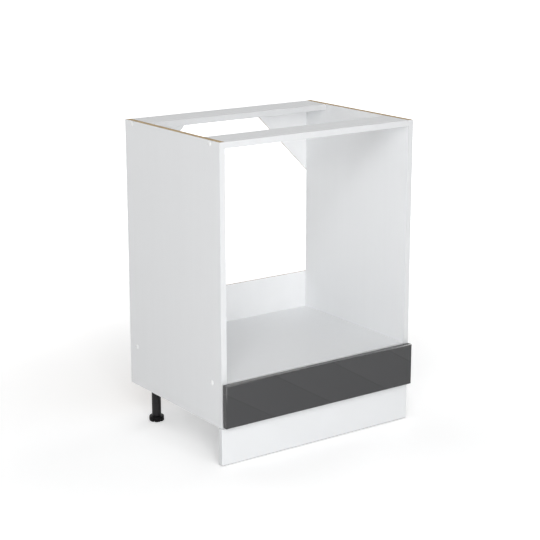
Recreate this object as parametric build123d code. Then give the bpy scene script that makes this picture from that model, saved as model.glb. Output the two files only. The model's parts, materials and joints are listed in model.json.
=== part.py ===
from build123d import *
import os
from math import atan2, cos, degrees, pi, sqrt

# Base unit for a built-in oven, in millimetres.
# +X is to the right of someone who faces the unit, the front looks towards -Y and +Z is up.
# The origin is on the floor, in the middle of the unit's outer box.
# Right-hand pieces are drawn first and the left-hand ones are their mirror images.

# Carcass boards
WIDTH = 600.0
HEIGHT = 816.0
CARCASS_DEPTH = 441.0
BOARD = 16.0
FOOT_HEIGHT = 100.0
SHELF_TOP = 217.0
RAIL_DEPTH = 90.0
BAND = 0.6

# Hardboard back
BACK = 3.0
REBATE_WIDTH = 8.0
BACK_PLAY = 0.5
BACK_STRIP_RISE = 106.0
GUSSET_LEG = 204.0

# Drawer front
FRONT_BOARD = 16.0
FRONT_GAP = 3.0
FRONT_SIDE_REVEAL = 2.0
FRONT_TOP_REVEAL = 2.0
FRONT_BOTTOM_REVEAL = 4.0
FRONT_ROUNDING = 2.5
BUMPER_RADIUS = 4.0
BUMPER_PLAY = 0.1
BUMPER_INSET = 21.0

# Drawer box
DRAWER_BOARD = 16.0
DRAWER_LIFT_PLAY = 16.3
DRAWER_BOTTOM = 3.0
GROOVE_PLAY = 0.1
GROOVE_DEPTH = 5.0
GROOVE_HEIGHT = 8.0
DRAWER_KEEP_IN = 100.0

# Roller runners
RUNNER_GAP = 12.5
RUNNER_STEP = 50.0
RUNNER_SETBACK = 2.0
RUNNER_REAR_PLAY = 20.0
RUNNER_FLOOR_PLAY = 4.0
STEEL = 1.2
BEND_RADIUS = 2.0
TRACK_HEIGHT = 24.0
TRACK_FLANGE = 10.0
TRACK_TO_DRAWER = 3.5
LEDGE_PLAY = 0.5
LEDGE_TIP_PLAY = 2.3
UNDER_LEG = 12.0
ROLLER_PLAY = 0.3
FRONT_ROLLER_RADIUS = 10.0
FRONT_ROLLER_INSET = 12.0
REAR_ROLLER_INSET = 8.0
ROLLER_WIDTH = 8.0
SIDE_PLAY = 0.2
PIN_RADIUS = 2.5
PIN_PLAY = 0.05
PIN_HEAD_RADIUS = 4.2
PIN_HEAD = 0.9
STOP_HEIGHT = 4.0
STOP_WIDTH = 6.0
STOP_PLAY = 0.3

# Adjustable feet
FRONT_FOOT_INSET_SIDE = 72.0
REAR_FOOT_INSET_SIDE = 41.0
FOOT_INSET_FRONT = 60.0
FOOT_INSET_REAR = 60.0
TUBE_RADIUS = 12.5
SPIGOT_LENGTH = 22.0
SPIGOT_BAR = 4.0
SPIGOT_PLAY = 0.1
SOCKET_PLATE = 3.0
SOCKET_SIDE = 54.0
SOCKET_CORNER = 8.0
SOCKET_SCREW_SPACING = 40.0
KNOB_RADIUS = 20.0
KNOB_HEIGHT = 14.0
KNOB_PLAY = 0.05
KNOB_RIM = 2.5
LOBES = 6
FLATS_PER_LOBE = 4
LOBE_NOTCH_WIDTH = 3.0
LOBE_NOTCH_DEPTH = 3.5
LOBE_NOTCH_HEIGHT = 9.0
SPINDLE_RADIUS = 8.0
SPINDLE_PLAY = 0.05
SPINDLE_LENGTH = 42.0
SPINDLE_FLATS = 12

# Plinth and its clips
PLINTH_BOARD = 16.0
PLINTH_FLOOR_GAP = 1.0
PLINTH_TOP_PLAY = 2.0
CLIP_HEIGHT = 20.0
CLIP_MIDDLE = 58.0
CLIP_WALL = 2.6
CLIP_PLAY = 0.08
CLIP_PLATE_WIDTH = 46.0
CLIP_PLATE = 3.0
CLIP_NECK_WIDTH = 12.0
CLIP_JAW_REACH = 5.0
CLIP_SCREW_OFFSET = 17.0

# Fasteners; the small ones are drawn with flats instead of round, and threads are left plain
FLATS = 6
ROUND_FLATS = 8
CONFIRMAT_LENGTH = 50.0
CONFIRMAT_HEAD_RADIUS = 5.0
CONFIRMAT_HEAD = 3.0
CONFIRMAT_RADIUS = 3.5
CAP_RADIUS = 7.0
CAP_SHOULDER_RADIUS = 5.4
CAP_SHOULDER = 1.5
CAP_CROWN_RADIUS = 2.8
CAP_RISE = 2.2
DOWEL_RADIUS = 4.0
DOWEL_LENGTH = 30.0
DOWEL_IN_FACE = 11.0
DOWEL_END_PLAY = 1.0
NAIL_RADIUS = 0.8
NAIL_LENGTH = 16.0
SCREW_HEAD_RADIUS = 3.5
SCREW_HEAD = 1.8
SCREW_RADIUS = 1.75
SCREW_COVER = 3.0
SCREW_IN_EDGE = 15.0
CAM_RADIUS = 7.5
CAM_PLAY = 0.05
CAM_HEIGHT = 12.5
CAM_DISTANCE = 24.0
CAM_SLOT = 1.6
CAM_BOLT_RADIUS = 2.75
CAM_BOLT_IN_FRONT = 11.0
CAM_BOLT_HEAD_RADIUS = 3.4
CAM_BOLT_HEAD = 2.5
CAM_BOLT_BORE_RADIUS = 4.0

# Fastener places, from the board edge that each is drilled from
DRILL_STEP = 32.0
SCREW_INSET_FRONT = 43.0
SCREW_INSET_REAR = 35.0
SHELF_DOWEL_STEPS = 3
RUNNER_SCREW_FIRST = 37.0
BOTTOM_SCREW_X = 180.0
NAIL_STEP = 180.0
NAIL_END_INSET = 42.0
DRAWER_SCREW_DROP = 12.0
DRAWER_SCREW_SPACING = 18.0
CAM_RISE = 26.0
DRAWER_DOWEL_DROP = 12.0

# Planes that the pieces share
OUTER = WIDTH / 2
INNER = OUTER - BOARD
FRONT = FRONT_GAP + FRONT_BOARD - (CARCASS_DEPTH + FRONT_GAP + FRONT_BOARD) / 2
REAR = FRONT + CARCASS_DEPTH
BACK_FACE = REAR - BACK
BASE_TOP = FOOT_HEIGHT + BOARD
SHELF_UNDER = SHELF_TOP - BOARD
RAIL_UNDER = HEIGHT - BOARD
REBATE_EDGE = INNER + REBATE_WIDTH
BACK_EDGE = REBATE_EDGE - BACK_PLAY

# The rear face of the drawer front, and the runner's length in whole catalogue steps
DRAWER_START = FRONT - FRONT_GAP
RUNNER_ROOM = CARCASS_DEPTH - BACK - RUNNER_SETBACK - RUNNER_REAR_PLAY
RUNNER_LENGTH = RUNNER_STEP * (RUNNER_ROOM // RUNNER_STEP)
DRAWER_END = DRAWER_START + RUNNER_LENGTH
DRAWER_TRAVEL = RUNNER_LENGTH - DRAWER_KEEP_IN

# Heights in the drawer and its runners
TRACK_FLOOR = BASE_TOP + RUNNER_FLOOR_PLAY + STEEL
TRACK_ROOF = TRACK_FLOOR + TRACK_HEIGHT
DRAWER_LOW = TRACK_FLOOR + TRACK_TO_DRAWER
DRAWER_HIGH = SHELF_UNDER - DRAWER_LIFT_PLAY
LEDGE_TOP = TRACK_ROOF - LEDGE_PLAY
BOTTOM_UNDER = DRAWER_LOW + GROOVE_HEIGHT
BOTTOM_TOP = BOTTOM_UNDER + DRAWER_BOTTOM
FRONT_LOW = FOOT_HEIGHT + FRONT_BOTTOM_REVEAL
FRONT_HIGH = SHELF_TOP - FRONT_TOP_REVEAL

# Widths in the drawer: the outer and inner faces of its right side
DRAWER_OUTER = INNER - RUNNER_GAP
DRAWER_INNER = DRAWER_OUTER - DRAWER_BOARD
DRAWER_MIDDLE = DRAWER_OUTER - DRAWER_BOARD / 2

# Roller axles
REAR_ROLLER_RADIUS = TRACK_HEIGHT / 2 - ROLLER_PLAY
REAR_AXLE_Y = DRAWER_END - REAR_ROLLER_INSET
REAR_AXLE_Z = TRACK_FLOOR + TRACK_HEIGHT / 2
FRONT_AXLE_Y = FRONT + RUNNER_SETBACK + FRONT_ROLLER_INSET
FRONT_AXLE_Z = LEDGE_TOP - STEEL - ROLLER_PLAY - FRONT_ROLLER_RADIUS

# Feet: the knob carries the tube, and the tube's bore takes the spindle below and the spigot above
TUBE_LOW = KNOB_HEIGHT + KNOB_PLAY
TUBE_HIGH = FOOT_HEIGHT - SOCKET_PLATE
TUBE_BORE_RADIUS = SPINDLE_RADIUS + SPINDLE_PLAY
FOOT_FRONT_X = OUTER - FRONT_FOOT_INSET_SIDE
FOOT_REAR_X = OUTER - REAR_FOOT_INSET_SIDE
FOOT_FRONT_Y = FRONT + FOOT_INSET_FRONT
FOOT_REAR_Y = REAR - FOOT_INSET_REAR
PLINTH_REAR = FRONT + PLINTH_BOARD

TOWARDS_LEFT = (-1, 0, 0)
TOWARDS_RIGHT = (1, 0, 0)
TOWARDS_FRONT = (0, -1, 0)
TOWARDS_REAR = (0, 1, 0)
UPWARDS = (0, 0, 1)
CORNER = (Align.MIN, Align.MIN, Align.MIN)
ON_END = (Align.CENTER, Align.CENTER, Align.MIN)

parts = {}


def slab(x0, x1, y0, y1, z0, z1):
    """A straight board between two limits on each axis."""
    return Pos(x0, y0, z0) * Box(x1 - x0, y1 - y0, z1 - z0, align=CORNER)


def rod(radius, length):
    """A plain round rod that starts at the origin and runs along Z."""
    return Cylinder(radius, length, align=ON_END)


def faceted(radius, length, sides=FLATS):
    """A rod with flats that starts at the origin and runs along Z."""
    return extrude(RegularPolygon(radius, sides), length)


def tapered(radius, end_radius, length, sides=FLATS):
    """A taper with flats that starts at the origin and runs along Z."""
    flats_in = (radius - end_radius) * cos(pi / sides)
    return extrude(RegularPolygon(radius, sides), length, taper=degrees(atan2(flats_in, length)))


def aimed(shape, at, towards):
    """Move a shape that is drawn along Z so that it starts at a point and runs in a direction."""
    return Plane(origin=at, z_dir=towards).location * shape


def along_depth(section, y0, y1):
    """Run an upright (x, z) section from the front to the rear."""
    return Pos(0, y1, 0) * Rot(90, 0, 0) * extrude(section, y1 - y0)


def left_of(shape):
    """The mirror image on the unit's left."""
    return mirror(shape, about=Plane.YZ)


def both(shapes):
    """Right-hand shapes together with their mirror images."""
    return [*shapes, *(left_of(shape) for shape in shapes)]


def loose(shapes):
    """Separate like pieces that share one node."""
    return Compound([solid for shape in shapes for solid in shape.solids()])


def sheet_section(points, radii):
    """The section of bent sheet steel whose outer line goes through the points."""
    line = FilletPolyline(*points, radius=radii)
    return make_face(offset(line, STEEL, side=Side.RIGHT))


# Fasteners, each drawn along Z from the face that it is driven in from


def countersunk(head_radius, head, radius, length):
    """A fastener with a countersunk head."""
    return tapered(head_radius, radius, head) + Pos(0, 0, head) * faceted(radius, length - head)


def confirmat():
    """One-piece chipboard screw that goes through one board into the end of the next."""
    return countersunk(CONFIRMAT_HEAD_RADIUS, CONFIRMAT_HEAD, CONFIRMAT_RADIUS, CONFIRMAT_LENGTH)


def wood_screw(length):
    """Small countersunk screw."""
    return countersunk(SCREW_HEAD_RADIUS, SCREW_HEAD, SCREW_RADIUS, length)


def pan_head_screw(length):
    """Small screw whose head stands on the face."""
    head = Pos(0, 0, -SCREW_HEAD) * faceted(SCREW_HEAD_RADIUS, SCREW_HEAD)
    return head + faceted(SCREW_RADIUS, length)


def screw_cap():
    """Domed cap over a screw, drawn outwards from the board."""
    shoulder = tapered(CAP_RADIUS, CAP_SHOULDER_RADIUS, CAP_SHOULDER, ROUND_FLATS)
    crown = tapered(CAP_SHOULDER_RADIUS, CAP_CROWN_RADIUS, CAP_RISE - CAP_SHOULDER, ROUND_FLATS)
    return shoulder + Pos(0, 0, CAP_SHOULDER) * crown


def dowel(play=0.0):
    """Dowel that starts at the joint face: its short end behind it, its long end ahead."""
    return Pos(0, 0, -DOWEL_IN_FACE - play) * faceted(DOWEL_RADIUS, DOWEL_LENGTH + 2 * play)


def nail():
    """Headless nail, driven in flush."""
    return faceted(NAIL_RADIUS, NAIL_LENGTH)


FACE_SCREW_LENGTH = BOARD - SCREW_COVER

# Where the sides meet the rails and the shelf, as (y, z), and the base, as y

SHELF_MIDDLE = SHELF_TOP - BOARD / 2
RAIL_MIDDLE = HEIGHT - BOARD / 2
SCREW_FRONT_Y = FRONT + SCREW_INSET_FRONT
SCREW_REAR_Y = REAR - SCREW_INSET_REAR
SIDE_SCREW_AT = [(y, z) for z in (RAIL_MIDDLE, SHELF_MIDDLE) for y in (SCREW_FRONT_Y, SCREW_REAR_Y)]
SIDE_DOWEL_AT = [
    (SCREW_FRONT_Y + DRILL_STEP, RAIL_MIDDLE),
    (SCREW_REAR_Y - DRILL_STEP, RAIL_MIDDLE),
    (SCREW_FRONT_Y + SHELF_DOWEL_STEPS * DRILL_STEP, SHELF_MIDDLE),
    (SCREW_REAR_Y - SHELF_DOWEL_STEPS * DRILL_STEP, SHELF_MIDDLE),
]
SIDE_MIDDLE = OUTER - BOARD / 2

# Runner screws, with the middle one on the drilling grid that the front one starts
RUNNER_SCREW_FRONT = FRONT + RUNNER_SCREW_FIRST
RUNNER_SCREW_REAR = FRONT + RUNNER_SETBACK + RUNNER_LENGTH - RUNNER_SCREW_FIRST
MIDDLE_STEPS = (RUNNER_SCREW_REAR - RUNNER_SCREW_FRONT) / 2 // DRILL_STEP
RUNNER_SCREW_Y = [RUNNER_SCREW_FRONT, RUNNER_SCREW_FRONT + MIDDLE_STEPS * DRILL_STEP, RUNNER_SCREW_REAR]

# The base's screws and dowels rise into the same stretch of the side, so they keep a grid step away
BASE_SCREW_Y = [RUNNER_SCREW_FRONT + DRILL_STEP, RUNNER_SCREW_REAR - DRILL_STEP]
BASE_DOWEL_Y = [RUNNER_SCREW_FRONT + 2 * DRILL_STEP, RUNNER_SCREW_REAR - 2 * DRILL_STEP]


def side_screws():
    """Screws through the right side into the rails and the shelf."""
    return [aimed(confirmat(), (OUTER, y, z), TOWARDS_LEFT) for y, z in SIDE_SCREW_AT]


def side_dowels(play=0.0):
    """Dowels between the right side and the rails and shelf."""
    return [aimed(dowel(play), (INNER, y, z), TOWARDS_LEFT) for y, z in SIDE_DOWEL_AT]


def base_screws():
    """Screws up through the base panel into the right side."""
    return [aimed(confirmat(), (SIDE_MIDDLE, y, FOOT_HEIGHT), UPWARDS) for y in BASE_SCREW_Y]


def base_dowels(play=0.0):
    """Dowels between the base panel and the right side."""
    return [aimed(dowel(play), (SIDE_MIDDLE, y, BASE_TOP), UPWARDS) for y in BASE_DOWEL_Y]


# Hardboard nails, as (x, z) on the right half of the back, and on the middle line
BACK_STRIP_LOW = BASE_TOP - REBATE_WIDTH + BACK_PLAY
BACK_STRIP_HIGH = SHELF_TOP + BACK_STRIP_RISE
REBATE_MIDDLE = INNER + REBATE_WIDTH / 2
NAIL_ROWS_Z = [BASE_TOP - REBATE_WIDTH / 2, SHELF_MIDDLE]
NAIL_AT = [
    *[(NAIL_STEP, z) for z in NAIL_ROWS_Z],
    (REBATE_MIDDLE, BACK_STRIP_HIGH - NAIL_END_INSET),
    (REBATE_MIDDLE, SHELF_MIDDLE - NAIL_END_INSET),
    (REBATE_MIDDLE, HEIGHT - NAIL_END_INSET),
    (REBATE_MIDDLE, HEIGHT - GUSSET_LEG + NAIL_END_INSET),
    (BACK_EDGE - NAIL_END_INSET, RAIL_MIDDLE),
    (BACK_EDGE - GUSSET_LEG + NAIL_END_INSET, RAIL_MIDDLE),
]
MIDDLE_NAIL_AT = [(0, z) for z in NAIL_ROWS_Z]


def back_nails():
    """All nails of the hardboard, driven in from behind."""
    right = [aimed(nail(), (x, REAR, z), TOWARDS_FRONT) for x, z in NAIL_AT]
    return both(right) + [aimed(nail(), (x, REAR, z), TOWARDS_FRONT) for x, z in MIDDLE_NAIL_AT]


# The cabinet member's screws go into the side, the drawer member's up into the drawer side
TRACK_MIDDLE = TRACK_FLOOR + TRACK_HEIGHT / 2


def cabinet_runner_screws():
    """Screws of the right cabinet member."""
    screw = wood_screw(FACE_SCREW_LENGTH + STEEL)
    return [aimed(screw, (INNER - STEEL, y, TRACK_MIDDLE), TOWARDS_RIGHT) for y in RUNNER_SCREW_Y]


def drawer_runner_screws():
    """Screws of the right drawer member."""
    screw = wood_screw(SCREW_IN_EDGE + STEEL)
    return [aimed(screw, (DRAWER_MIDDLE, y, DRAWER_LOW - STEEL), UPWARDS) for y in RUNNER_SCREW_Y]


FEET = {
    "front_left": (-FOOT_FRONT_X, FOOT_FRONT_Y),
    "front_right": (FOOT_FRONT_X, FOOT_FRONT_Y),
    "rear_left": (-FOOT_REAR_X, FOOT_REAR_Y),
    "rear_right": (FOOT_REAR_X, FOOT_REAR_Y),
}


def socket_screws():
    """The four screws of one foot socket, about the foot's own axis."""
    screw = pan_head_screw(FACE_SCREW_LENGTH + SOCKET_PLATE)
    corners = GridLocations(SOCKET_SCREW_SPACING, SOCKET_SCREW_SPACING, 2, 2)
    return [Pos(0, 0, TUBE_HIGH) * place * screw for place in corners]


def all_socket_screws():
    """The screws of all four foot sockets."""
    return [Pos(x, y, 0) * screw for x, y in FEET.values() for screw in socket_screws()]


# Carcass


def side_panel():
    """Right side: its plan has a rebate along the rear edge for the hardboard."""
    plan = Polyline(
        (INNER, FRONT + BAND),
        (OUTER, FRONT + BAND),
        (OUTER, REAR),
        (REBATE_EDGE, REAR),
        (REBATE_EDGE, BACK_FACE),
        (INNER, BACK_FACE),
        close=True,
    )
    board = Pos(0, 0, BASE_TOP) * extrude(make_face(plan), HEIGHT - BASE_TOP)
    drilled = side_screws() + side_dowels(DOWEL_END_PLAY)
    drilled += base_screws() + base_dowels(DOWEL_END_PLAY)
    return board - drilled - cabinet_runner_screws()


def base_panel():
    """Base under both sides, with a stopped rebate along its rear upper edge."""
    board = slab(-OUTER, OUTER, FRONT + BAND, REAR, FOOT_HEIGHT, BASE_TOP)
    board -= slab(-REBATE_EDGE, REBATE_EDGE, BACK_FACE, REAR, BASE_TOP - REBATE_WIDTH, BASE_TOP)
    drilled = both(base_screws() + base_dowels(DOWEL_END_PLAY))
    return board - drilled - all_socket_screws()


def cross_board(y0, y1, z0):
    """A board between the sides: the shelf or a rail."""
    board = slab(-INNER, INNER, y0 + BAND, y1, z0, z0 + BOARD)
    return board - both(side_screws() + side_dowels(DOWEL_END_PLAY))


def edge_band(half_width, y, z0, z1):
    """White band on the front edge of a board that is centred on the unit."""
    return slab(-half_width, half_width, y, y + BAND, z0, z1)


RAIL_REAR_START = BACK_FACE - RAIL_DEPTH

parts["side_panel_right"] = side_panel()
parts["side_panel_left"] = left_of(parts["side_panel_right"])
parts["base_panel"] = base_panel()
parts["oven_shelf"] = cross_board(FRONT, BACK_FACE, SHELF_UNDER)
parts["top_rail_front"] = cross_board(FRONT, FRONT + RAIL_DEPTH, RAIL_UNDER)
parts["top_rail_rear"] = cross_board(RAIL_REAR_START, BACK_FACE, RAIL_UNDER)
parts["edge_bands"] = loose(
    [
        *both([slab(INNER, OUTER, FRONT, FRONT + BAND, BASE_TOP, HEIGHT)]),
        edge_band(OUTER, FRONT, FOOT_HEIGHT, BASE_TOP),
        edge_band(INNER, FRONT, SHELF_UNDER, SHELF_TOP),
        edge_band(INNER, FRONT, RAIL_UNDER, HEIGHT),
        edge_band(INNER, RAIL_REAR_START, RAIL_UNDER, HEIGHT),
    ]
)

parts["back_strip"] = slab(-BACK_EDGE, BACK_EDGE, BACK_FACE, REAR, BACK_STRIP_LOW, BACK_STRIP_HIGH)

gusset_corner = (BACK_EDGE, HEIGHT - BACK_PLAY)
gusset_outline = Polyline(
    gusset_corner,
    (REBATE_EDGE - GUSSET_LEG, HEIGHT - BACK_PLAY),
    (BACK_EDGE, HEIGHT - GUSSET_LEG),
    close=True,
)
parts["back_gusset_right"] = along_depth(make_face(gusset_outline), BACK_FACE, REAR)
parts["back_gusset_left"] = left_of(parts["back_gusset_right"])

parts["confirmat_screws"] = loose(both(side_screws()))
parts["base_screws"] = loose(both(base_screws()))
parts["wood_dowels"] = loose(both(side_dowels() + base_dowels()))
parts["back_nails"] = loose(back_nails())
caps = [aimed(screw_cap(), (OUTER, y, z), TOWARDS_RIGHT) for y, z in SIDE_SCREW_AT]
parts["screw_caps"] = loose(both(caps))

# Feet, each drawn about its own axis with the floor at zero


def foot_socket():
    """Plate under the base, with a cross-shaped spigot that the tube is pushed on to."""
    plate = chamfer(Rectangle(SOCKET_SIDE, SOCKET_SIDE).vertices(), SOCKET_CORNER)
    reach = sqrt((TUBE_BORE_RADIUS - SPIGOT_PLAY) ** 2 - (SPIGOT_BAR / 2) ** 2)
    cross = Rectangle(2 * reach, SPIGOT_BAR) + Rectangle(SPIGOT_BAR, 2 * reach)
    socket = Pos(0, 0, TUBE_HIGH) * extrude(plate, SOCKET_PLATE)
    socket += Pos(0, 0, TUBE_HIGH - SPIGOT_LENGTH) * extrude(cross, SPIGOT_LENGTH)
    return socket - socket_screws()


def foot_tube():
    """Leg tube, a thick-walled plain cylinder."""
    tube = rod(TUBE_RADIUS, TUBE_HIGH - TUBE_LOW) - rod(TUBE_BORE_RADIUS, TUBE_HIGH - TUBE_LOW)
    return Pos(0, 0, TUBE_LOW) * tube


def foot_base():
    """Lobed knob that stands on the floor, with the spindle that screws up into the tube."""
    sides = LOBES * FLATS_PER_LOBE
    knob = faceted(KNOB_RADIUS, KNOB_HEIGHT - KNOB_RIM, sides)
    knob += Pos(0, 0, KNOB_HEIGHT - KNOB_RIM) * tapered(KNOB_RADIUS, KNOB_RADIUS - KNOB_RIM, KNOB_RIM, sides)
    knob += Pos(0, 0, KNOB_HEIGHT) * faceted(SPINDLE_RADIUS, SPINDLE_LENGTH, SPINDLE_FLATS)
    notch = Box(2 * LOBE_NOTCH_DEPTH, LOBE_NOTCH_WIDTH, LOBE_NOTCH_HEIGHT, align=ON_END)
    return knob - [place * notch for place in PolarLocations(KNOB_RADIUS, LOBES, 180 / LOBES)]


for corner, (x, y) in FEET.items():
    parts["foot_socket_" + corner] = Pos(x, y, 0) * foot_socket()
    parts["foot_base_" + corner] = Pos(x, y, 0) * foot_base()
parts["foot_tubes"] = loose([Pos(x, y, 0) * foot_tube() for x, y in FEET.values()])
parts["foot_socket_screws"] = loose(all_socket_screws())

# Plinth: its clips grip the tubes of the front feet and let go when it is pulled forwards


def clip_screws():
    """Two screws through the right clip's plate into the plinth."""
    screw = pan_head_screw(PLINTH_BOARD - SCREW_COVER + CLIP_PLATE)
    face = PLINTH_REAR + CLIP_PLATE
    offsets = (-CLIP_SCREW_OFFSET, CLIP_SCREW_OFFSET)
    return [aimed(screw, (FOOT_FRONT_X + offset, face, CLIP_MIDDLE), TOWARDS_FRONT) for offset in offsets]


def plinth_clip():
    """Right clip: a plate, a neck and a pair of jaws round the tube, open to the rear."""
    grip = TUBE_RADIUS + CLIP_PLAY
    jaw = grip + CLIP_WALL
    plan = Pos(FOOT_FRONT_X, FOOT_FRONT_Y) * Circle(jaw)
    plan += Pos(FOOT_FRONT_X, FOOT_FRONT_Y + CLIP_JAW_REACH / 2) * Rectangle(2 * jaw, CLIP_JAW_REACH)
    neck_length = FOOT_FRONT_Y - PLINTH_REAR
    plan += Pos(FOOT_FRONT_X, FOOT_FRONT_Y - neck_length / 2) * Rectangle(CLIP_NECK_WIDTH, neck_length)
    plan += Pos(FOOT_FRONT_X, PLINTH_REAR + CLIP_PLATE / 2) * Rectangle(CLIP_PLATE_WIDTH, CLIP_PLATE)
    plan -= Pos(FOOT_FRONT_X, FOOT_FRONT_Y) * Circle(grip)
    plan -= Pos(FOOT_FRONT_X, FOOT_FRONT_Y + jaw) * Rectangle(2 * grip, 2 * jaw)
    clip = Pos(0, 0, CLIP_MIDDLE - CLIP_HEIGHT / 2) * extrude(plan, CLIP_HEIGHT)
    return clip - clip_screws()


plinth_top = FOOT_HEIGHT - PLINTH_TOP_PLAY
plinth_board = slab(-OUTER, OUTER, FRONT, PLINTH_REAR, PLINTH_FLOOR_GAP, plinth_top)
parts["plinth_panel"] = plinth_board - both(clip_screws())
parts["plinth_clip_right"] = plinth_clip()
parts["plinth_clip_left"] = left_of(parts["plinth_clip_right"])
parts["plinth_clip_screws"] = loose(both(clip_screws()))

# Roller runners


def roller_pin():
    """Rivet: a tail in the steel, a round shank that the roller turns on, and a head that keeps it on."""
    shank = ROLLER_WIDTH + 2 * SIDE_PLAY
    pin = faceted(PIN_RADIUS, STEEL, ROUND_FLATS) + Pos(0, 0, STEEL) * rod(PIN_RADIUS, shank)
    return pin + Pos(0, 0, STEEL + shank) * faceted(PIN_HEAD_RADIUS, PIN_HEAD, ROUND_FLATS)


def roller(radius):
    """Nylon roller that turns on a rivet."""
    return rod(radius, ROLLER_WIDTH) - rod(PIN_RADIUS + PIN_PLAY, ROLLER_WIDTH)


FRONT_PIN = aimed(roller_pin(), (INNER, FRONT_AXLE_Y, FRONT_AXLE_Z), TOWARDS_LEFT)
REAR_PIN = aimed(roller_pin(), (DRAWER_OUTER, REAR_AXLE_Y, REAR_AXLE_Z), TOWARDS_RIGHT)


def cabinet_member():
    """Right cabinet member: a channel with a lanced stop in its lower flange."""
    section = sheet_section(
        [
            (INNER - TRACK_FLANGE, TRACK_ROOF + STEEL),
            (INNER, TRACK_ROOF + STEEL),
            (INNER, TRACK_FLOOR - STEEL),
            (INNER - TRACK_FLANGE, TRACK_FLOOR - STEEL),
        ],
        [BEND_RADIUS, BEND_RADIUS],
    )
    start = FRONT + RUNNER_SETBACK
    channel = along_depth(section, start, start + RUNNER_LENGTH)
    # The stop stands where the rear roller's rim meets it at the end of the travel.
    drop = REAR_ROLLER_RADIUS + ROLLER_PLAY - STOP_HEIGHT
    stop_y = REAR_AXLE_Y - DRAWER_TRAVEL - sqrt(REAR_ROLLER_RADIUS**2 - drop**2) - STOP_PLAY
    stop_x = INNER - STEEL - BEND_RADIUS
    stop_end = stop_x - STOP_WIDTH
    bend_y = stop_y - STEEL
    underside = TRACK_FLOOR - STEEL
    window = slab(stop_end, stop_x, bend_y - STOP_HEIGHT, bend_y, underside, TRACK_FLOOR)
    stop = slab(stop_end, stop_x, bend_y, stop_y, underside, TRACK_FLOOR + STOP_HEIGHT)
    return channel - window + stop - cabinet_runner_screws() - FRONT_PIN


def drawer_member():
    """Right drawer member: a leg under the drawer side, a web up its face and a ledge on the roller."""
    section = sheet_section(
        [
            (DRAWER_OUTER - UNDER_LEG, DRAWER_LOW),
            (DRAWER_OUTER, DRAWER_LOW),
            (DRAWER_OUTER, LEDGE_TOP),
            (INNER - LEDGE_TIP_PLAY, LEDGE_TOP),
        ],
        [0, BEND_RADIUS],
    )
    strip_of_steel = along_depth(section, DRAWER_START + RUNNER_SETBACK, DRAWER_END)
    cut_x = DRAWER_OUTER + STEEL
    cut_y = REAR_AXLE_Y - REAR_ROLLER_RADIUS - RUNNER_SETBACK
    cut_away = slab(cut_x, INNER, cut_y, DRAWER_END, DRAWER_LOW, LEDGE_TOP)
    return strip_of_steel - cut_away - drawer_runner_screws() - REAR_PIN


parts["runner_cabinet_right"] = cabinet_member()
parts["runner_cabinet_left"] = left_of(parts["runner_cabinet_right"])
parts["runner_cabinet_screws"] = loose(both(cabinet_runner_screws()))
parts["front_roller_pins"] = loose(both([FRONT_PIN]))
parts["runner_drawer_right"] = drawer_member()
parts["runner_drawer_left"] = left_of(parts["runner_drawer_right"])
parts["runner_drawer_screws"] = loose(both(drawer_runner_screws()))
parts["rear_roller_pins"] = loose(both([REAR_PIN]))

roller_start = STEEL + SIDE_PLAY
front_roller_at = (INNER - roller_start, FRONT_AXLE_Y, FRONT_AXLE_Z)
rear_roller_at = (DRAWER_OUTER + roller_start, REAR_AXLE_Y, REAR_AXLE_Z)
parts["front_rollers"] = loose(both([aimed(roller(FRONT_ROLLER_RADIUS), front_roller_at, TOWARDS_LEFT)]))
parts["rear_rollers"] = loose(both([aimed(roller(REAR_ROLLER_RADIUS), rear_roller_at, TOWARDS_RIGHT)]))

# Drawer

CAM_Z = DRAWER_LOW + CAM_RISE
CAM_Y = DRAWER_START + CAM_DISTANCE
DRAWER_DOWEL_Z = DRAWER_HIGH - DRAWER_DOWEL_DROP
DRAWER_BACK_START = DRAWER_END - DRAWER_BOARD
DRAWER_BACK_MIDDLE = DRAWER_END - DRAWER_BOARD / 2
DRAWER_SCREW_Z = [DRAWER_HIGH - DRAWER_SCREW_DROP, DRAWER_HIGH - DRAWER_SCREW_DROP - DRAWER_SCREW_SPACING]


def drawer_dowel(play=0.0):
    """Dowel between the front and the right drawer side."""
    return aimed(dowel(play), (DRAWER_MIDDLE, DRAWER_START, DRAWER_DOWEL_Z), TOWARDS_REAR)


def cam_bolt():
    """Bolt that is screwed into the front, with a neck and a head that the cam pulls on."""
    reach = CAM_DISTANCE + CAM_BOLT_HEAD / 2
    body = Pos(0, 0, -CAM_BOLT_IN_FRONT) * faceted(CAM_BOLT_RADIUS, CAM_BOLT_IN_FRONT + reach)
    body += Pos(0, 0, reach - CAM_BOLT_HEAD) * faceted(CAM_BOLT_HEAD_RADIUS, CAM_BOLT_HEAD)
    return aimed(body, (DRAWER_MIDDLE, DRAWER_START, CAM_Z), TOWARDS_REAR)


def cam_bolt_bore():
    """Bore for the bolt's neck, in the drawer side's front end and on into the cam."""
    bore = faceted(CAM_BOLT_BORE_RADIUS, CAM_DISTANCE + CAM_BOLT_HEAD)
    return aimed(bore, (DRAWER_MIDDLE, DRAWER_START, CAM_Z), TOWARDS_REAR)


def cam():
    """Right cam: a drum let into the inner face, hollow for the bolt's head, with a slot."""
    drum = faceted(CAM_RADIUS - CAM_PLAY, CAM_HEIGHT, ROUND_FLATS)
    drum -= Box(CAM_RADIUS, CAM_SLOT, CAM_SLOT, align=ON_END)
    return aimed(drum, (DRAWER_INNER, CAM_Y, CAM_Z), TOWARDS_RIGHT) - cam_bolt_bore()


def drawer_screws():
    """Screws through the right drawer side into the drawer back."""
    points = [(DRAWER_OUTER, DRAWER_BACK_MIDDLE, z) for z in DRAWER_SCREW_Z]
    return [aimed(confirmat(), point, TOWARDS_LEFT) for point in points]


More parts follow.
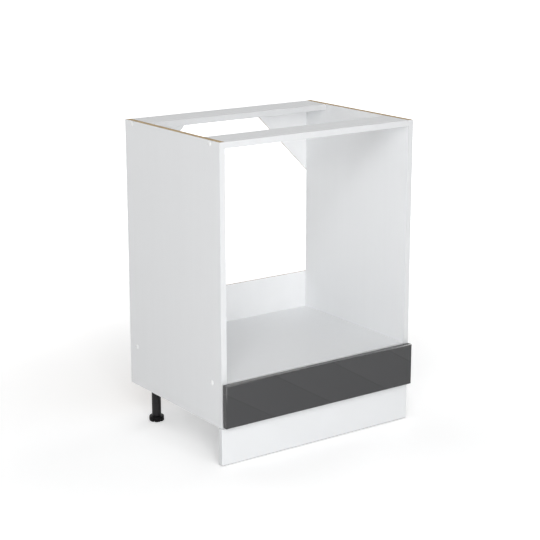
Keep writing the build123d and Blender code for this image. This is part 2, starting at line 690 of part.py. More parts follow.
def bottom_screws():
    """Screws up through the drawer bottom into the drawer back."""
    screw = wood_screw(SCREW_IN_EDGE + DRAWER_BOTTOM)
    points = [(x, DRAWER_BACK_MIDDLE, BOTTOM_UNDER) for x in (-BOTTOM_SCREW_X, BOTTOM_SCREW_X)]
    return [aimed(screw, point, UPWARDS) for point in points]


GROOVE_EDGE = DRAWER_INNER + GROOVE_DEPTH
GROOVE_LOW = BOTTOM_UNDER - GROOVE_PLAY
GROOVE_HIGH = BOTTOM_TOP + GROOVE_PLAY
groove = slab(-GROOVE_EDGE, GROOVE_EDGE, DRAWER_START - GROOVE_DEPTH, DRAWER_END, GROOVE_LOW, GROOVE_HIGH)


def drawer_front():
    """Gloss front: rounded on all its front edges, with bores and a groove in its rear face."""
    panel = slab(
        FRONT_SIDE_REVEAL - OUTER,
        OUTER - FRONT_SIDE_REVEAL,
        DRAWER_START - FRONT_BOARD,
        DRAWER_START,
        FRONT_LOW,
        FRONT_HIGH,
    )
    panel = fillet(panel.faces().sort_by(Axis.Y)[0].edges(), FRONT_ROUNDING)
    return panel - groove - both([drawer_dowel(DOWEL_END_PLAY), cam_bolt()])


def drawer_side():
    """Right drawer side: groove for the bottom, bores for cam, bolt, dowel and screws."""
    board = slab(DRAWER_INNER, DRAWER_OUTER, DRAWER_START, DRAWER_END, DRAWER_LOW, DRAWER_HIGH - BAND)
    board -= [groove, drawer_dowel(DOWEL_END_PLAY), cam_bolt_bore()]
    board -= aimed(faceted(CAM_RADIUS, CAM_HEIGHT, ROUND_FLATS), (DRAWER_INNER, CAM_Y, CAM_Z), TOWARDS_RIGHT)
    return board - drawer_screws() - drawer_runner_screws()


back_board = slab(-DRAWER_INNER, DRAWER_INNER, DRAWER_BACK_START, DRAWER_END, BOTTOM_TOP, DRAWER_HIGH - BAND)
bottom_edge = GROOVE_EDGE - GROOVE_PLAY
bottom_start = DRAWER_START - GROOVE_DEPTH + GROOVE_PLAY
bottom_board = slab(-bottom_edge, bottom_edge, bottom_start, DRAWER_END, BOTTOM_UNDER, BOTTOM_TOP)

parts["drawer_front"] = drawer_front()
parts["drawer_side_right"] = drawer_side()
parts["drawer_side_left"] = left_of(parts["drawer_side_right"])
parts["drawer_back"] = back_board - both(drawer_screws()) - bottom_screws()
parts["drawer_bottom"] = bottom_board - bottom_screws()
parts["drawer_edge_bands"] = loose(
    [
        *both([slab(DRAWER_INNER, DRAWER_OUTER, DRAWER_START, DRAWER_END, DRAWER_HIGH - BAND, DRAWER_HIGH)]),
        slab(-DRAWER_INNER, DRAWER_INNER, DRAWER_BACK_START, DRAWER_END, DRAWER_HIGH - BAND, DRAWER_HIGH),
    ]
)
parts["drawer_cams"] = loose(both([cam()]))
parts["drawer_cam_bolts"] = loose(both([cam_bolt()]))
parts["drawer_dowels"] = loose(both([drawer_dowel()]))
parts["drawer_screws"] = loose(both(drawer_screws()) + bottom_screws())
bumper = faceted(BUMPER_RADIUS, FRONT_GAP - BUMPER_PLAY, ROUND_FLATS)
bumper_heights = (FRONT_LOW + BUMPER_INSET, FRONT_HIGH - BUMPER_INSET)
bumpers = [aimed(bumper, (SIDE_MIDDLE, DRAWER_START, z), TOWARDS_REAR) for z in bumper_heights]
parts["drawer_bumpers"] = loose(both(bumpers))

os.makedirs("parts", exist_ok=True)
for name, shape in parts.items():
    export_step(shape, f"parts/{name}.step")
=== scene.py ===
import json
from functools import partial
from math import atan2, cos, pi, radians, sin, sqrt

import bmesh
import bpy
from bpy.props import FloatProperty, FloatVectorProperty, IntProperty, PointerProperty
from mathutils import Matrix, Vector


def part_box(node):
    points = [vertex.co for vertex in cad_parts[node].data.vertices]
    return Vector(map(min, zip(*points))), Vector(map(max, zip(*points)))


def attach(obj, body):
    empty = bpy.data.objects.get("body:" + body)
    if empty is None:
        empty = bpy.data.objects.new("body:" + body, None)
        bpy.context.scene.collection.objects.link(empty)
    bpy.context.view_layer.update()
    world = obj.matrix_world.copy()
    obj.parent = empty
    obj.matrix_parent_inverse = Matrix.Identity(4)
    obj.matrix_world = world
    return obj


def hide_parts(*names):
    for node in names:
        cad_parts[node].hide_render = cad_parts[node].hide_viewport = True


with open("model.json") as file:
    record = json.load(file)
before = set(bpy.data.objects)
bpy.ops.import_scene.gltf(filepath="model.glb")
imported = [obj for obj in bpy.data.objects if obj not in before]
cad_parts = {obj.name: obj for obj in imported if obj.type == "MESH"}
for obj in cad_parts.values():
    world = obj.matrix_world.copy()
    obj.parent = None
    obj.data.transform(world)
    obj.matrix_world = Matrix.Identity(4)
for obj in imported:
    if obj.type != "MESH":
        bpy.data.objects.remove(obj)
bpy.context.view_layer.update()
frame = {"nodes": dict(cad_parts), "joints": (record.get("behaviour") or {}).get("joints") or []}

bl_info = {
    "name": "Oven base unit",
    "version": (1, 0, 0),
    "blender": (4, 5, 0),
    "location": "3D View > Sidebar > Base unit",
    "description": "Finished pieces for a kitchen base unit that carries a built-in oven",
    "category": "Object",
}

MM = 0.001

# Lengths are in metres. A piece stands in the frame's place, and its mesh carries that place.

Length = partial(FloatProperty, unit="LENGTH")
Power = partial(FloatProperty, unit="POWER")
Turn = partial(FloatProperty, unit="ROTATION")
Tint = partial(FloatVectorProperty, size=3, min=0.0, max=1.0, subtype="COLOR")


class CarcassSizes(bpy.types.PropertyGroup):
    """Details of the boards, the bands and the hardboard."""

    edge_break: Length(
        name="Edge break", description="Fine chamfer along a sawn board edge", default=0.35 * MM
    )
    band_rounding: Length(
        name="Band rounding", description="Rounding along the outer edges of an edge band", default=0.45 * MM
    )
    sheet_break: Length(
        name="Sheet break", description="Fine chamfer along the edges of hardboard", default=0.2 * MM
    )
    rebate_play: Length(
        name="Rebate play", description="Gap between hardboard and the end of its rebate", default=0.5 * MM
    )
    sheet_sink: Length(
        name="Sheet sink", description="How far the hardboard lies below the rear edges", default=0.06 * MM
    )
    head_proud: Length(
        name="Head stand", description="How far a countersunk head stands out of its face", default=0.05 * MM
    )


class DrawerSizes(bpy.types.PropertyGroup):
    """Details of the drawer, its front and its runners."""

    front_rounding: Length(
        name="Front rounding", description="Rounding round the face of the drawer front", default=2.5 * MM
    )
    groove_depth: Length(
        name="Groove depth", description="Depth of the groove that holds the drawer bottom", default=5.0 * MM
    )
    groove_play: Length(
        name="Groove play", description="Gap above and below the bottom in its groove", default=0.1 * MM
    )
    steel: Length(
        name="Runner steel", description="Thickness of the runners' sheet steel", default=1.2 * MM
    )
    bend: Length(
        name="Runner bend", description="Outer radius of a bend in the runners", default=2.0 * MM
    )
    stop_height: Length(
        name="Stop height", description="Rise of the lanced stop above the track's floor", default=4.0 * MM
    )
    roller_play: Length(
        name="Roller play", description="Gap of a roller to the track's floor and stop", default=0.3 * MM
    )


class FootSizes(bpy.types.PropertyGroup):
    """Details of the adjustable feet and the plinth clips."""

    lobes: IntProperty(name="Lobes", description="How many lobes the knob has", default=6, min=3, max=12)
    notch_width: Length(
        name="Notch width", description="Width of the notch between two lobes", default=4.0 * MM
    )
    notch_depth: Length(
        name="Notch depth", description="Depth of the notch between two lobes", default=3.5 * MM
    )
    notch_height: Length(
        name="Notch height", description="How far up the knob the notches reach", default=9.0 * MM
    )
    knob_height: Length(
        name="Knob height", description="Height of the knob, up to the bottom of the tube", default=14.0 * MM
    )
    knob_rim: Length(
        name="Knob rim", description="Rounding round the top of the knob", default=2.5 * MM
    )
    spindle_radius: Length(
        name="Spindle radius", description="Outer radius of the threaded spindle", default=8.0 * MM
    )
    thread_pitch: Length(
        name="Thread pitch", description="Rise of the spindle's thread in one turn", default=3.0 * MM
    )
    moulding_rounding: Length(
        name="Moulding rounding", description="Rounding along the edges of a moulded piece", default=0.5 * MM
    )
    clip_wall: Length(
        name="Clip wall", description="Thickness of the clip's jaws", default=2.6 * MM
    )
    clip_plate: Length(
        name="Clip plate", description="Thickness of the plate screwed to the plinth", default=3.0 * MM
    )
    clip_neck: Length(
        name="Clip neck", description="Width of the neck between plate and jaws", default=12.0 * MM
    )


class Colours(bpy.types.PropertyGroup):
    """Colours of the finishes."""

    white: Tint(
        name="White board", description="Melamine face of the carcass boards", default=(0.795, 0.805, 0.815)
    )
    band: Tint(name="White band", description="Glued edge bands", default=(0.665, 0.675, 0.685))
    hardboard: Tint(
        name="White hardboard", description="Lacquered face of the hardboard", default=(0.82, 0.828, 0.836)
    )
    fibre: Tint(
        name="Brown hardboard", description="Bare face of the hardboard", default=(0.27, 0.165, 0.085)
    )
    chip: Tint(
        name="Chipboard", description="Middle tone of a sawn chipboard edge", default=(0.50, 0.365, 0.20)
    )
    front: Tint(name="Dark gloss", description="Foil of the drawer front", default=(0.0355, 0.036, 0.038))
    foot: Tint(name="Black plastic", description="Moulded feet and clips", default=(0.0085, 0.0085, 0.009))
    cap: Tint(name="White plastic", description="Screw caps", default=(0.85, 0.855, 0.86))
    steel: Tint(name="Coated steel", description="Powder-coated runners", default=(0.76, 0.76, 0.73))
    zinc: Tint(name="Zinc", description="Plated screws, nails and rivets", default=(0.62, 0.63, 0.65))
    nylon: Tint(name="Nylon", description="Rollers", default=(0.72, 0.71, 0.66))
    beech: Tint(name="Beech", description="Dowels", default=(0.55, 0.36, 0.20))
    silicone: Tint(name="Silicone", description="Bumpers behind the drawer front", default=(0.80, 0.82, 0.83))


class Studio(bpy.types.PropertyGroup):
    """Floor, lights and camera."""

    floor: Tint(name="Floor", description="Colour of the floor", default=(0.92, 0.92, 0.92))
    floor_lift: FloatProperty(
        name="Floor lift", description="How much paler the camera sees the floor near the unit", default=0.235
    )
    far_lift: FloatProperty(
        name="Far lift", description="How much paler the floor shows far from the unit", default=0.90
    )
    sky: FloatProperty(name="Sky", description="Strength of the even light from all round", default=0.178)
    sky_top: FloatProperty(
        name="Sky top", description="How much stronger that light is from straight above", default=0.30
    )
    key_power: Power(
        name="Key lamp", description="Large soft lamp to the left in front of the unit", default=112.0
    )
    fill_power: Power(name="Fill lamp", description="Small soft lamp close to the opening", default=11.8)
    right_power: Power(name="Right lamp", description="Low soft lamp on the right", default=110.0)
    rear_power: Power(name="Rear lamp", description="Low soft lamp behind the unit", default=70.0)
    camera_at: FloatVectorProperty(
        name="Camera place",
        description="Where the camera stands",
        default=(-2.1967, -3.0755, 1.4076),
        size=3,
        subtype="TRANSLATION",
        unit="LENGTH",
    )
    camera_turn: Turn(
        name="Camera turn", description="Turn from the unit's depth to its right", default=radians(35.492)
    )
    camera_dip: Turn(name="Camera dip", description="How far the camera looks down", default=radians(14.701))
    lens: FloatProperty(name="Lens", description="Focal length of the camera in millimetres", default=98.51)


class BaseUnit(bpy.types.PropertyGroup):
    """Everything about the unit that can be set."""

    carcass: PointerProperty(type=CarcassSizes, name="Carcass", description="Boards, bands and hardboard")
    drawer: PointerProperty(type=DrawerSizes, name="Drawer", description="Drawer and runners")
    foot: PointerProperty(type=FootSizes, name="Feet", description="Feet and plinth clips")
    colours: PointerProperty(type=Colours, name="Colours", description="Colours of the finishes")
    studio: PointerProperty(type=Studio, name="Studio", description="Floor, lights and camera")


def settings():
    """The unit's settings in this scene."""
    return bpy.context.scene.base_unit


class Number:
    """A node's socket that sums can be written with."""

    def __init__(self, wiring, socket):
        self.wiring, self.socket = wiring, socket

    def __add__(self, other):
        return self.wiring.math("ADD", self, other)

    def __sub__(self, other):
        return self.wiring.math("SUBTRACT", self, other)

    def __rsub__(self, other):
        return self.wiring.math("SUBTRACT", other, self)

    def __mul__(self, other):
        return self.wiring.math("MULTIPLY", self, other)

    def __truediv__(self, other):
        return self.wiring.math("DIVIDE", self, other)


class Wiring:
    """Adds nodes to a tree. A feed is a number, a socket, a list of sockets or a plain value."""

    def __init__(self, tree):
        self.tree = tree

    def add(self, kind, feeds=None, **choices):
        node = self.tree.nodes.new(kind)
        for name, value in choices.items():
            setattr(node, name, value)
        for name, value in (feeds or {}).items():
            self.feed(node.inputs[name], value)
        return node

    def feed(self, socket, value):
        for source in value if isinstance(value, list) else [value]:
            if isinstance(source, Number):
                source = source.socket
            if isinstance(source, bpy.types.NodeSocket):
                self.tree.links.new(source, socket)
            else:
                socket.default_value = source

    def math(self, operation, *values):
        """One step of arithmetic."""
        node = self.add("ShaderNodeMath", dict(enumerate(values)), operation=operation)
        return Number(self, node.outputs[0])

    def vector(self, x, y, z):
        """Three numbers as one vector."""
        return self.add("ShaderNodeCombineXYZ", {"X": x, "Y": y, "Z": z}).outputs[0]

    def step(self, value, start, end, low, high):
        """A smooth change from low to high while value goes from start to end."""
        feeds = {"Value": value, "From Min": start, "From Max": end, "To Min": low, "To Max": high}
        node = self.add("ShaderNodeMapRange", feeds, interpolation_type="SMOOTHSTEP")
        return Number(self, node.outputs["Result"])


# Finishes


class Finish(Wiring):
    """A material under way, with its shader and the place on the piece that patterns read."""

    def __init__(self, name, **constants):
        self.material = bpy.data.materials.new(name)
        self.material.use_nodes = True
        super().__init__(self.material.node_tree)
        self.shader = self.tree.nodes["Principled BSDF"]
        self.place = self.add("ShaderNodeTexCoord").outputs["Object"]
        for socket, value in constants.items():
            self.shader.inputs[socket.replace("_", " ")].default_value = value

    def stretched(self, scale, turn=(0.0, 0.0, 0.0)):
        """The place, turned and then drawn out, so that a pattern gets a direction."""
        way = self.add("ShaderNodeMapping", {"Vector": self.place, "Rotation": turn}).outputs[0]
        return self.add("ShaderNodeMapping", {"Vector": way, "Scale": scale}).outputs[0]

    def noise(self, scale, detail=2.0, place=None, roughness=0.5):
        feeds = {"Vector": place or self.place, "Scale": scale, "Detail": detail, "Roughness": roughness}
        return Number(self, self.add("ShaderNodeTexNoise", feeds).outputs["Fac"])

    def tones(self, value, *stops):
        """Colours for a value: each stop is where it lies and its colour."""
        ramp = self.add("ShaderNodeValToRGB", {"Fac": value})
        elements = ramp.color_ramp.elements
        while len(elements) < len(stops):
            elements.new(0.5)
        for element, (position, tint) in zip(elements, stops):
            element.position = position
            element.color = (*tint, 1.0)
        return ramp.outputs["Color"]

    def clouds(self, tint, spread, scale):
        """The tint with soft lighter and darker clouds in it."""
        low, high = shade(tint, 1 - spread), shade(tint, 1 + spread)
        return self.tones(self.noise(scale, 4.0), (0.3, low), (0.7, high))

    def colour(self, socket):
        self.feed(self.shader.inputs["Base Color"], socket)

    def sheen(self, value, low, high):
        """Roughness between two limits."""
        feeds = {"Value": value, "From Min": 0.3, "From Max": 0.7, "To Min": low, "To Max": high}
        self.feed(self.shader.inputs["Roughness"], self.add("ShaderNodeMapRange", feeds).outputs["Result"])

    def relief(self, height, depth, strength, under=None):
        """Fine relief; another relief may lie under it."""
        feeds = {"Height": height, "Distance": depth, "Strength": strength}
        if under:
            feeds["Normal"] = under
        normal = self.add("ShaderNodeBump", feeds).outputs["Normal"]
        self.feed(self.shader.inputs["Normal"], normal)
        return normal


def shade(tint, factor):
    """A colour made lighter or darker."""
    return [min(1.0, channel * factor) for channel in tint]


def melamine(name, tint):
    """Melamine face: an even white with the fine pearl grain of the press plate."""
    made = Finish(name)
    streaks = made.noise(60.0, 3.0, made.stretched((1.0, 1.0, 0.04)), 0.6)
    made.colour(made.tones(streaks, (0.3, shade(tint, 0.993)), (0.7, shade(tint, 1.005))))
    grain = made.noise(1500.0, 3.0)
    made.sheen(grain, 0.36, 0.5)
    waves = made.relief(made.noise(22.0, 1.0), 0.25 * MM, 0.12)
    made.relief(grain, 0.05 * MM, 0.35, under=waves)
    return made.material


def sawn_chipboard(name, tint):
    """Sawn edge: pressed chips in many browns, with small holes between them."""
    made = Finish(name, Roughness=0.85)
    fine, coarse = (
        made.add("ShaderNodeTexVoronoi", {"Vector": made.place, "Scale": scale, "Randomness": 1.0}).outputs
        for scale in (620.0, 260.0)
    )
    tone = Number(made, fine["Color"]) * 0.55 + made.noise(900.0, 4.0)
    tone = (tone + Number(made, coarse["Color"]) * 0.45) * 0.62
    stops = [(0.28, shade(tint, 0.32)), (0.45, shade(tint, 0.75)), (0.62, tint), (0.85, shade(tint, 1.45))]
    made.colour(made.tones(tone, *stops))
    made.relief(Number(made, fine["Distance"]) + made.noise(1800.0, 2.0), 0.25 * MM, 0.8)
    return made.material


def bare_hardboard(name, tint):
    """Pressed brown fibre with short darker and lighter hairs."""
    made = Finish(name, Roughness=0.78)
    ways = ((1.0, 1.0, 9.0), (9.0, 1.0, 1.0))
    across, along_x = (made.noise(160.0, 5.0, made.stretched(way)) for way in ways)
    hairs = (across + along_x) * 0.5
    made.colour(made.tones(hairs, (0.32, shade(tint, 0.62)), (0.5, tint), (0.68, shade(tint, 1.5))))
    made.relief(hairs, 0.15 * MM, 0.6)
    return made.material


def gloss_foil(name, tint):
    """High-gloss foil: orange peel in the gloss, and painted reflections in the colour: slanting steps, each
    fading out.
    """
    made = Finish(name, IOR=1.5)
    # Painted reflection: light and dark slanting steps in the base colour stand in for reflected streaks.
    reflection_slant = made.stretched((1.0, 1.0, 1.0), (0.0, radians(59.0), 0.0))
    feeds = {"Vector": reflection_slant, "Scale": 3.34, "Phase Offset": 5.55}
    steps = made.add("ShaderNodeTexWave", feeds, wave_profile="SAW").outputs["Fac"]
    stops = [(0.0, shade(tint, 0.72)), (0.035, shade(tint, 1.07)), (1.0, shade(tint, 0.95))]
    made.colour(made.tones(steps, *stops))
    made.sheen(made.noise(60.0, 3.0), 0.07, 0.13)
    peel = made.relief(made.noise(330.0, 1.0), 0.02 * MM, 0.22)
    made.relief(made.noise(7.0, 1.0), 0.6 * MM, 0.1, under=peel)
    return made.material


def moulded_plastic(name, tint, gloss, low, high):
    """Moulded plastic with the fine spark-eroded grain of its mould and paler rubbed spots."""
    made = Finish(name, Specular_IOR_Level=gloss)
    made.colour(made.tones(made.noise(45.0, 5.0), (0.42, tint), (0.72, shade(tint, 1.6))))
    made.sheen(made.noise(130.0, 4.0), low, high)
    made.relief(made.noise(2400.0, 2.0), 0.04 * MM, 0.5)
    return made.material


def beech_wood(name, tint):
    """Beech with grain and its short dark flecks."""
    made = Finish(name, Roughness=0.7)
    grain = made.noise(90.0, 6.0, made.stretched((0.15, 1.0, 1.0)))
    made.colour(made.tones(grain, (0.3, shade(tint, 0.6)), (0.5, tint), (0.75, shade(tint, 1.3))))
    made.relief(made.noise(1200.0, 3.0), 0.05 * MM, 0.5)
    return made.material


def clouded(name, tint, clouds, grain, sheen, relief, way=None, **constants):
    """A plain finish. Clouds are a spread and a scale, grain the scale and detail of one noise
    for both gloss and relief or of one for each, sheen two limits, relief a depth and a strength."""
    made = Finish(name, **constants)
    made.colour(made.clouds(tint, *clouds))
    place = made.stretched(way) if way else None
    noises = [made.noise(scale, detail, place) for scale, detail in grain]
    made.sheen(noises[0], *sheen)
    depth, strength = relief
    made.relief(noises[-1], depth * MM, strength)
    return made.material


def lacquered_hardboard(name, tint):
    """White lacquer over fibres that still show through as faint dimples."""
    return clouded(name, tint, (0.015, 14.0), [(420.0, 3.0)], (0.3, 0.42), (0.08, 0.4))


def plastic_band(name, tint):
    """Smooth satin edging with the faint long lines of the scraper."""
    lines, way = [(700.0, 2.0)], (1.0, 1.0, 0.02)
    return clouded(name, tint, (0.01, 7.0), lines, (0.42, 0.54), (0.03, 0.3), way, Specular_IOR_Level=0.35)


def powder_coat(name, tint):
    """Powder coat with a shallow orange peel."""
    coat = {"Coat_Weight": 0.25, "Coat_Roughness": 0.2}
    return clouded(name, tint, (0.02, 30.0), [(520.0, 2.0)], (0.3, 0.42), (0.06, 0.5), **coat)


def zinc_plate(name, tint):
    """Bright zinc with a fine cloudy bloom."""
    grain = [(800.0, 4.0), (1900.0, 2.0)]
    return clouded(name, tint, (0.12, 260.0), grain, (0.22, 0.42), (0.02, 0.4), Metallic=1.0)


def turned_nylon(name, tint):
    """Natural nylon, milky, with fine turning lines."""
    milky = {"Subsurface_Weight": 0.35, "Subsurface_Scale": 1.2 * MM}
    lines, way = [(1500.0, 1.0)], (1.0, 0.1, 0.1)
    return clouded(name, tint, (0.03, 90.0), lines, (0.3, 0.45), (0.03, 0.4), way, **milky)


def clear_silicone(name, tint):
    """Milky see-through silicone."""
    clear = {"Transmission_Weight": 0.6, "IOR": 1.41}
    return clouded(name, tint, (0.04, 400.0), [(500.0, 2.0), (900.0, 2.0)], (0.2, 0.4), (0.03, 0.3), **clear)


FINISHES = {
    "white_melamine": lambda name, c: melamine(name, c.white),
    "sawn_chipboard": lambda name, c: sawn_chipboard(name, c.chip),
    "edging": lambda name, c: plastic_band(name, c.band),
    "plinth_foil": lambda name, c: plastic_band(name, shade(c.band, 1.12)),
    # Painted shade: the band colour darkened to 0.7, for the plinth faces that look down at the floor.
    "sealed_edge": lambda name, c: plastic_band(name, shade(c.band, 0.7)),
    "white_lacquer": lambda name, c: lacquered_hardboard(name, c.hardboard),
    "brown_fibre": lambda name, c: bare_hardboard(name, c.fibre),
    "dark_gloss": lambda name, c: gloss_foil(name, c.front),
    # Painted shade: the black plastic darkened to 0.6 of its tint for knobs, sockets and clips, since the
    # knobs sit in shade.
    "black_moulding": lambda name, c: moulded_plastic(name, shade(c.foot, 0.6), 0.11, 0.34, 0.5),
    # Painted light: the same black plastic lightened to 1.2 of its tint for the tubes.
    "black_tube": lambda name, c: moulded_plastic(name, shade(c.foot, 1.2), 0.24, 0.3, 0.42),
    "white_moulding": lambda name, c: moulded_plastic(name, c.cap, 0.5, 0.2, 0.32),
    "coated_steel": lambda name, c: powder_coat(name, c.steel),
    "bright_zinc": lambda name, c: zinc_plate(name, c.zinc),
    "roller_nylon": lambda name, c: turned_nylon(name, c.nylon),
    "dowel_beech": lambda name, c: beech_wood(name, c.beech),
    "bumper_silicone": lambda name, c: clear_silicone(name, c.silicone),
}

BOARD = ["white_melamine", "sawn_chipboard"]
SHEET = ["brown_fibre", "white_lacquer"]
SIDES = ("right", "left")


def finish(name):
    """The finish with this name, made when the first piece asks for it."""
    return bpy.data.materials.get(name) or FINISHES[name](name, settings().colours)


# What the frame says about its nodes


def limits(node):
    """A node's box as x0, x1, y0, y1, z0, z1."""
    low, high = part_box(node)
    return low.x, high.x, low.y, high.y, low.z, high.z


def solids(node):
    """The box of each separate solid in a node, as its middle and its size."""
    mesh = bmesh.new()
    mesh.from_mesh(frame["nodes"][node].data)
    bmesh.ops.remove_doubles(mesh, verts=mesh.verts, dist=0.001 * MM)
    left, found = set(mesh.verts), []
    while left:
        reach, group = [left.pop()], []
        while reach:
            corner = reach.pop()
            group.append(corner.co.copy())
            for edge in corner.link_edges:
                other = edge.other_vert(corner)
                if other in left:
                    left.remove(other)
                    reach.append(other)
        low = Vector(map(min, zip(*group)))
        high = Vector(map(max, zip(*group)))
        found.append(((low + high) / 2, high - low))
    mesh.free()
    return sorted(found, key=lambda solid: tuple(round(value, 5) for value in solid[0]))


def longest(size):
    """The axis along which a size is greatest."""
    return max(range(3), key=lambda k: size[k])


def starts(node, axis=None, towards_middle=True, low_first=True, proud=0.0):
    """Where each solid of a node that lies along an axis starts, and which way it runs.
    Without an axis it is every solid, taken across the unit."""
    places = []
    for middle, size in solids(node):
        if axis is not None and longest(size) != axis:
            continue
        lie = axis or 0
        sign = 1.0 if low_first else -1.0
        if lie == 0:
            sign = (-1.0 if middle.x > 0 else 1.0) * (1.0 if towards_middle else -1.0)
        aim = Vector([sign if k == lie else 0.0 for k in range(3)])
        places.append((middle - aim * (size[lie] / 2 + proud), aim))
    return places


def along(node, axis):
    """Length and widest half-width of a node's first solid that lies along an axis."""
    for _, size in solids(node):
        if longest(size) == axis:
            return size[axis], max(size[k] for k in range(3) if k != axis) / 2
    raise ValueError(f"nothing in {node} lies along axis {axis}")


# Mesh work


def prism(outline, axis, start, end):
    """A board or sheet with this outline, run along an axis from start to end."""
    places = {"Y": lambda u, v, w: (u, w, v), "Z": lambda u, v, w: (u, v, w)}
    mesh = bmesh.new()
    near_end, far_end = ([mesh.verts.new(places[axis](u, v, w)) for u, v in outline] for w in (start, end))
    mesh.faces.new(near_end)
    mesh.faces.new(far_end)
    for k in range(len(outline)):
        mesh.faces.new((near_end[k - 1], near_end[k], far_end[k], far_end[k - 1]))
    bmesh.ops.recalc_face_normals(mesh, faces=mesh.faces)
    return mesh


def block(x0, x1, y0, y1, z0, z1):
    """A straight block between limits."""
    return prism([(x0, y0), (x1, y0), (x1, y1), (x0, y1)], "Z", z0, z1)


def turned(profile, sides=48, ring=False):
    """A turned piece about Z from (radius, height) points; a ring's profile is closed."""
    mesh = bmesh.new()
    rows = []
    for radius, height in profile:
        count = sides if radius else 1
        turns = [2 * pi * k / count for k in range(count)]
        row = [mesh.verts.new((radius * cos(turn), radius * sin(turn), height)) for turn in turns]
        rows.append(row * (sides // count))
    pairs = list(zip(rows, rows[1:]))
    if ring:
        pairs.append((rows[-1], rows[0]))
    for low, high in pairs:
        for k in range(sides):
            mesh.faces.new(dict.fromkeys((low[k - 1], low[k], high[k], high[k - 1])))
    bmesh.ops.recalc_face_normals(mesh, faces=mesh.faces)
    return mesh


def quarter(count):
    """Turns from nought up to, but not with, a right angle."""
    return [k * pi / (2 * count) for k in range(count)]


def near(a, b):
    """Whether two places along an axis are the same."""
    return abs(a - b) < 0.05 * MM


def rim(mesh, axis, place):
    """The edges that lie in one plane across an axis."""
    return [edge for edge in mesh.edges if all(near(vert.co[axis], place) for vert in edge.verts)]


def ease(mesh, width, steps=2, edges=None):
    """Round or break edges, or else every corner; the new faces are smooth and get the first finish."""
    if edges is None:
        edges = [edge for edge in mesh.edges if edge.calc_face_angle(0.0) > radians(35)]
    made = bmesh.ops.bevel(
        mesh,
        geom=edges,
        offset=width,
        offset_type="OFFSET",
        segments=steps,
        profile=0.5,
        affect="EDGES",
        clamp_overlap=True,
        material=0,
    )
    for face in made["faces"]:
        face.smooth = True
    return mesh


def paint(mesh, chosen):
    """Give the faces that a test picks the second finish."""
    mesh.normal_update()
    for face in mesh.faces:
        if chosen(face.calc_center_median(), face.normal):
            face.material_index = 1
    return mesh


def faced(mesh, plain):
    """A board with melamine on the faces that a test picks and sawn chipboard on the rest."""
    paint(mesh, lambda spot, normal: not plain(spot, normal))
    return ease(mesh, settings().carcass.edge_break)


def joined(meshes):
    """Several meshes as one."""
    whole = bmesh.new()
    for mesh in meshes:
        data = bpy.data.meshes.new("joined")
        mesh.to_mesh(data)
        mesh.free()
        whole.from_mesh(data)
        bpy.data.meshes.remove(data)
    return whole


def placed(mesh, matrix):
    """The mesh, moved."""
    bmesh.ops.transform(mesh, matrix=matrix, verts=mesh.verts)
    return mesh


def mirrored(mesh):
    """The mesh's mirror image on the unit's left."""
    bmesh.ops.scale(mesh, vec=(-1.0, 1.0, 1.0), verts=mesh.verts)
    bmesh.ops.reverse_faces(mesh, faces=mesh.faces)
    return mesh


def scratch(mesh):
    """A short-lived object with this mesh."""
    data = bpy.data.meshes.new("scratch")
    mesh.to_mesh(data)
    mesh.free()
    made = bpy.data.objects.new("scratch", data)
    bpy.context.scene.collection.objects.link(made)
    return made


def discard(*objects):
    """Remove short-lived objects and their meshes."""
    for made in objects:
        data = made.data
        bpy.data.objects.remove(made)
        bpy.data.meshes.remove(data)


def carve(mesh, cutter):
    """Take one mesh away from another."""
    body, tool = scratch(mesh), scratch(cutter)
    cut = body.modifiers.new("Cut", "BOOLEAN")
    cut.operation = "DIFFERENCE"
    cut.solver = "EXACT"
    cut.object = tool
    bpy.context.view_layer.update()
    depsgraph = bpy.context.evaluated_depsgraph_get()
    carved = bmesh.new()
    carved.from_mesh(body.evaluated_get(depsgraph).data)
    discard(body, tool)
    return carved


def piece(name, mesh, finishes, body, nodes):
    """Make a finished piece that stands for some nodes and rides on a body."""
    data = bpy.data.meshes.new(name)
    mesh.to_mesh(data)
    mesh.free()
    for each in finishes:
        data.materials.append(finish(each))
    made = bpy.data.objects.new(name, data)
    bpy.context.scene.collection.objects.link(made)
    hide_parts(*nodes)
    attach(made, body)


# Node trees for what repeats

CREASE = radians(32)
LAP = 0.1 * MM
POINT_RADIUS = 0.2 * MM
SPINDLE_THREAD = 0.9 * MM
SCREW_SIZES = [
    "Length", "Head radius", "Neck radius", "Head height", "Core radius", "Thread depth", "Pitch", "Recess",
]
KNOB_SIZES = [
    "Radius", "Height", "Rim", "Notch width", "Notch depth", "Notch height", "Spindle radius",
    "Spindle length", "Pitch",
]


def new_tree(name, sizes, counts=(), objects=()):
    """An empty tree with named inputs, its wiring and its inputs as numbers."""
    tree = bpy.data.node_groups.new(name, "GeometryNodeTree")
    kinds = [("Places", "NodeSocketGeometry")]
    kinds += [(label, "NodeSocketFloat") for label in sizes]
    kinds += [(label, "NodeSocketInt") for label in counts]
    kinds += [(label, "NodeSocketObject") for label in objects]
    kinds += [("Finish", "NodeSocketMaterial")]
    for label, kind in kinds:
        tree.interface.new_socket(label, in_out="INPUT", socket_type=kind)
    tree.interface.new_socket("Result", in_out="OUTPUT", socket_type="NodeSocketGeometry")
    wiring = Wiring(tree)
    sockets = wiring.add("NodeGroupInput").outputs
    return wiring, {label: Number(wiring, sockets[label]) for label, kind in kinds}


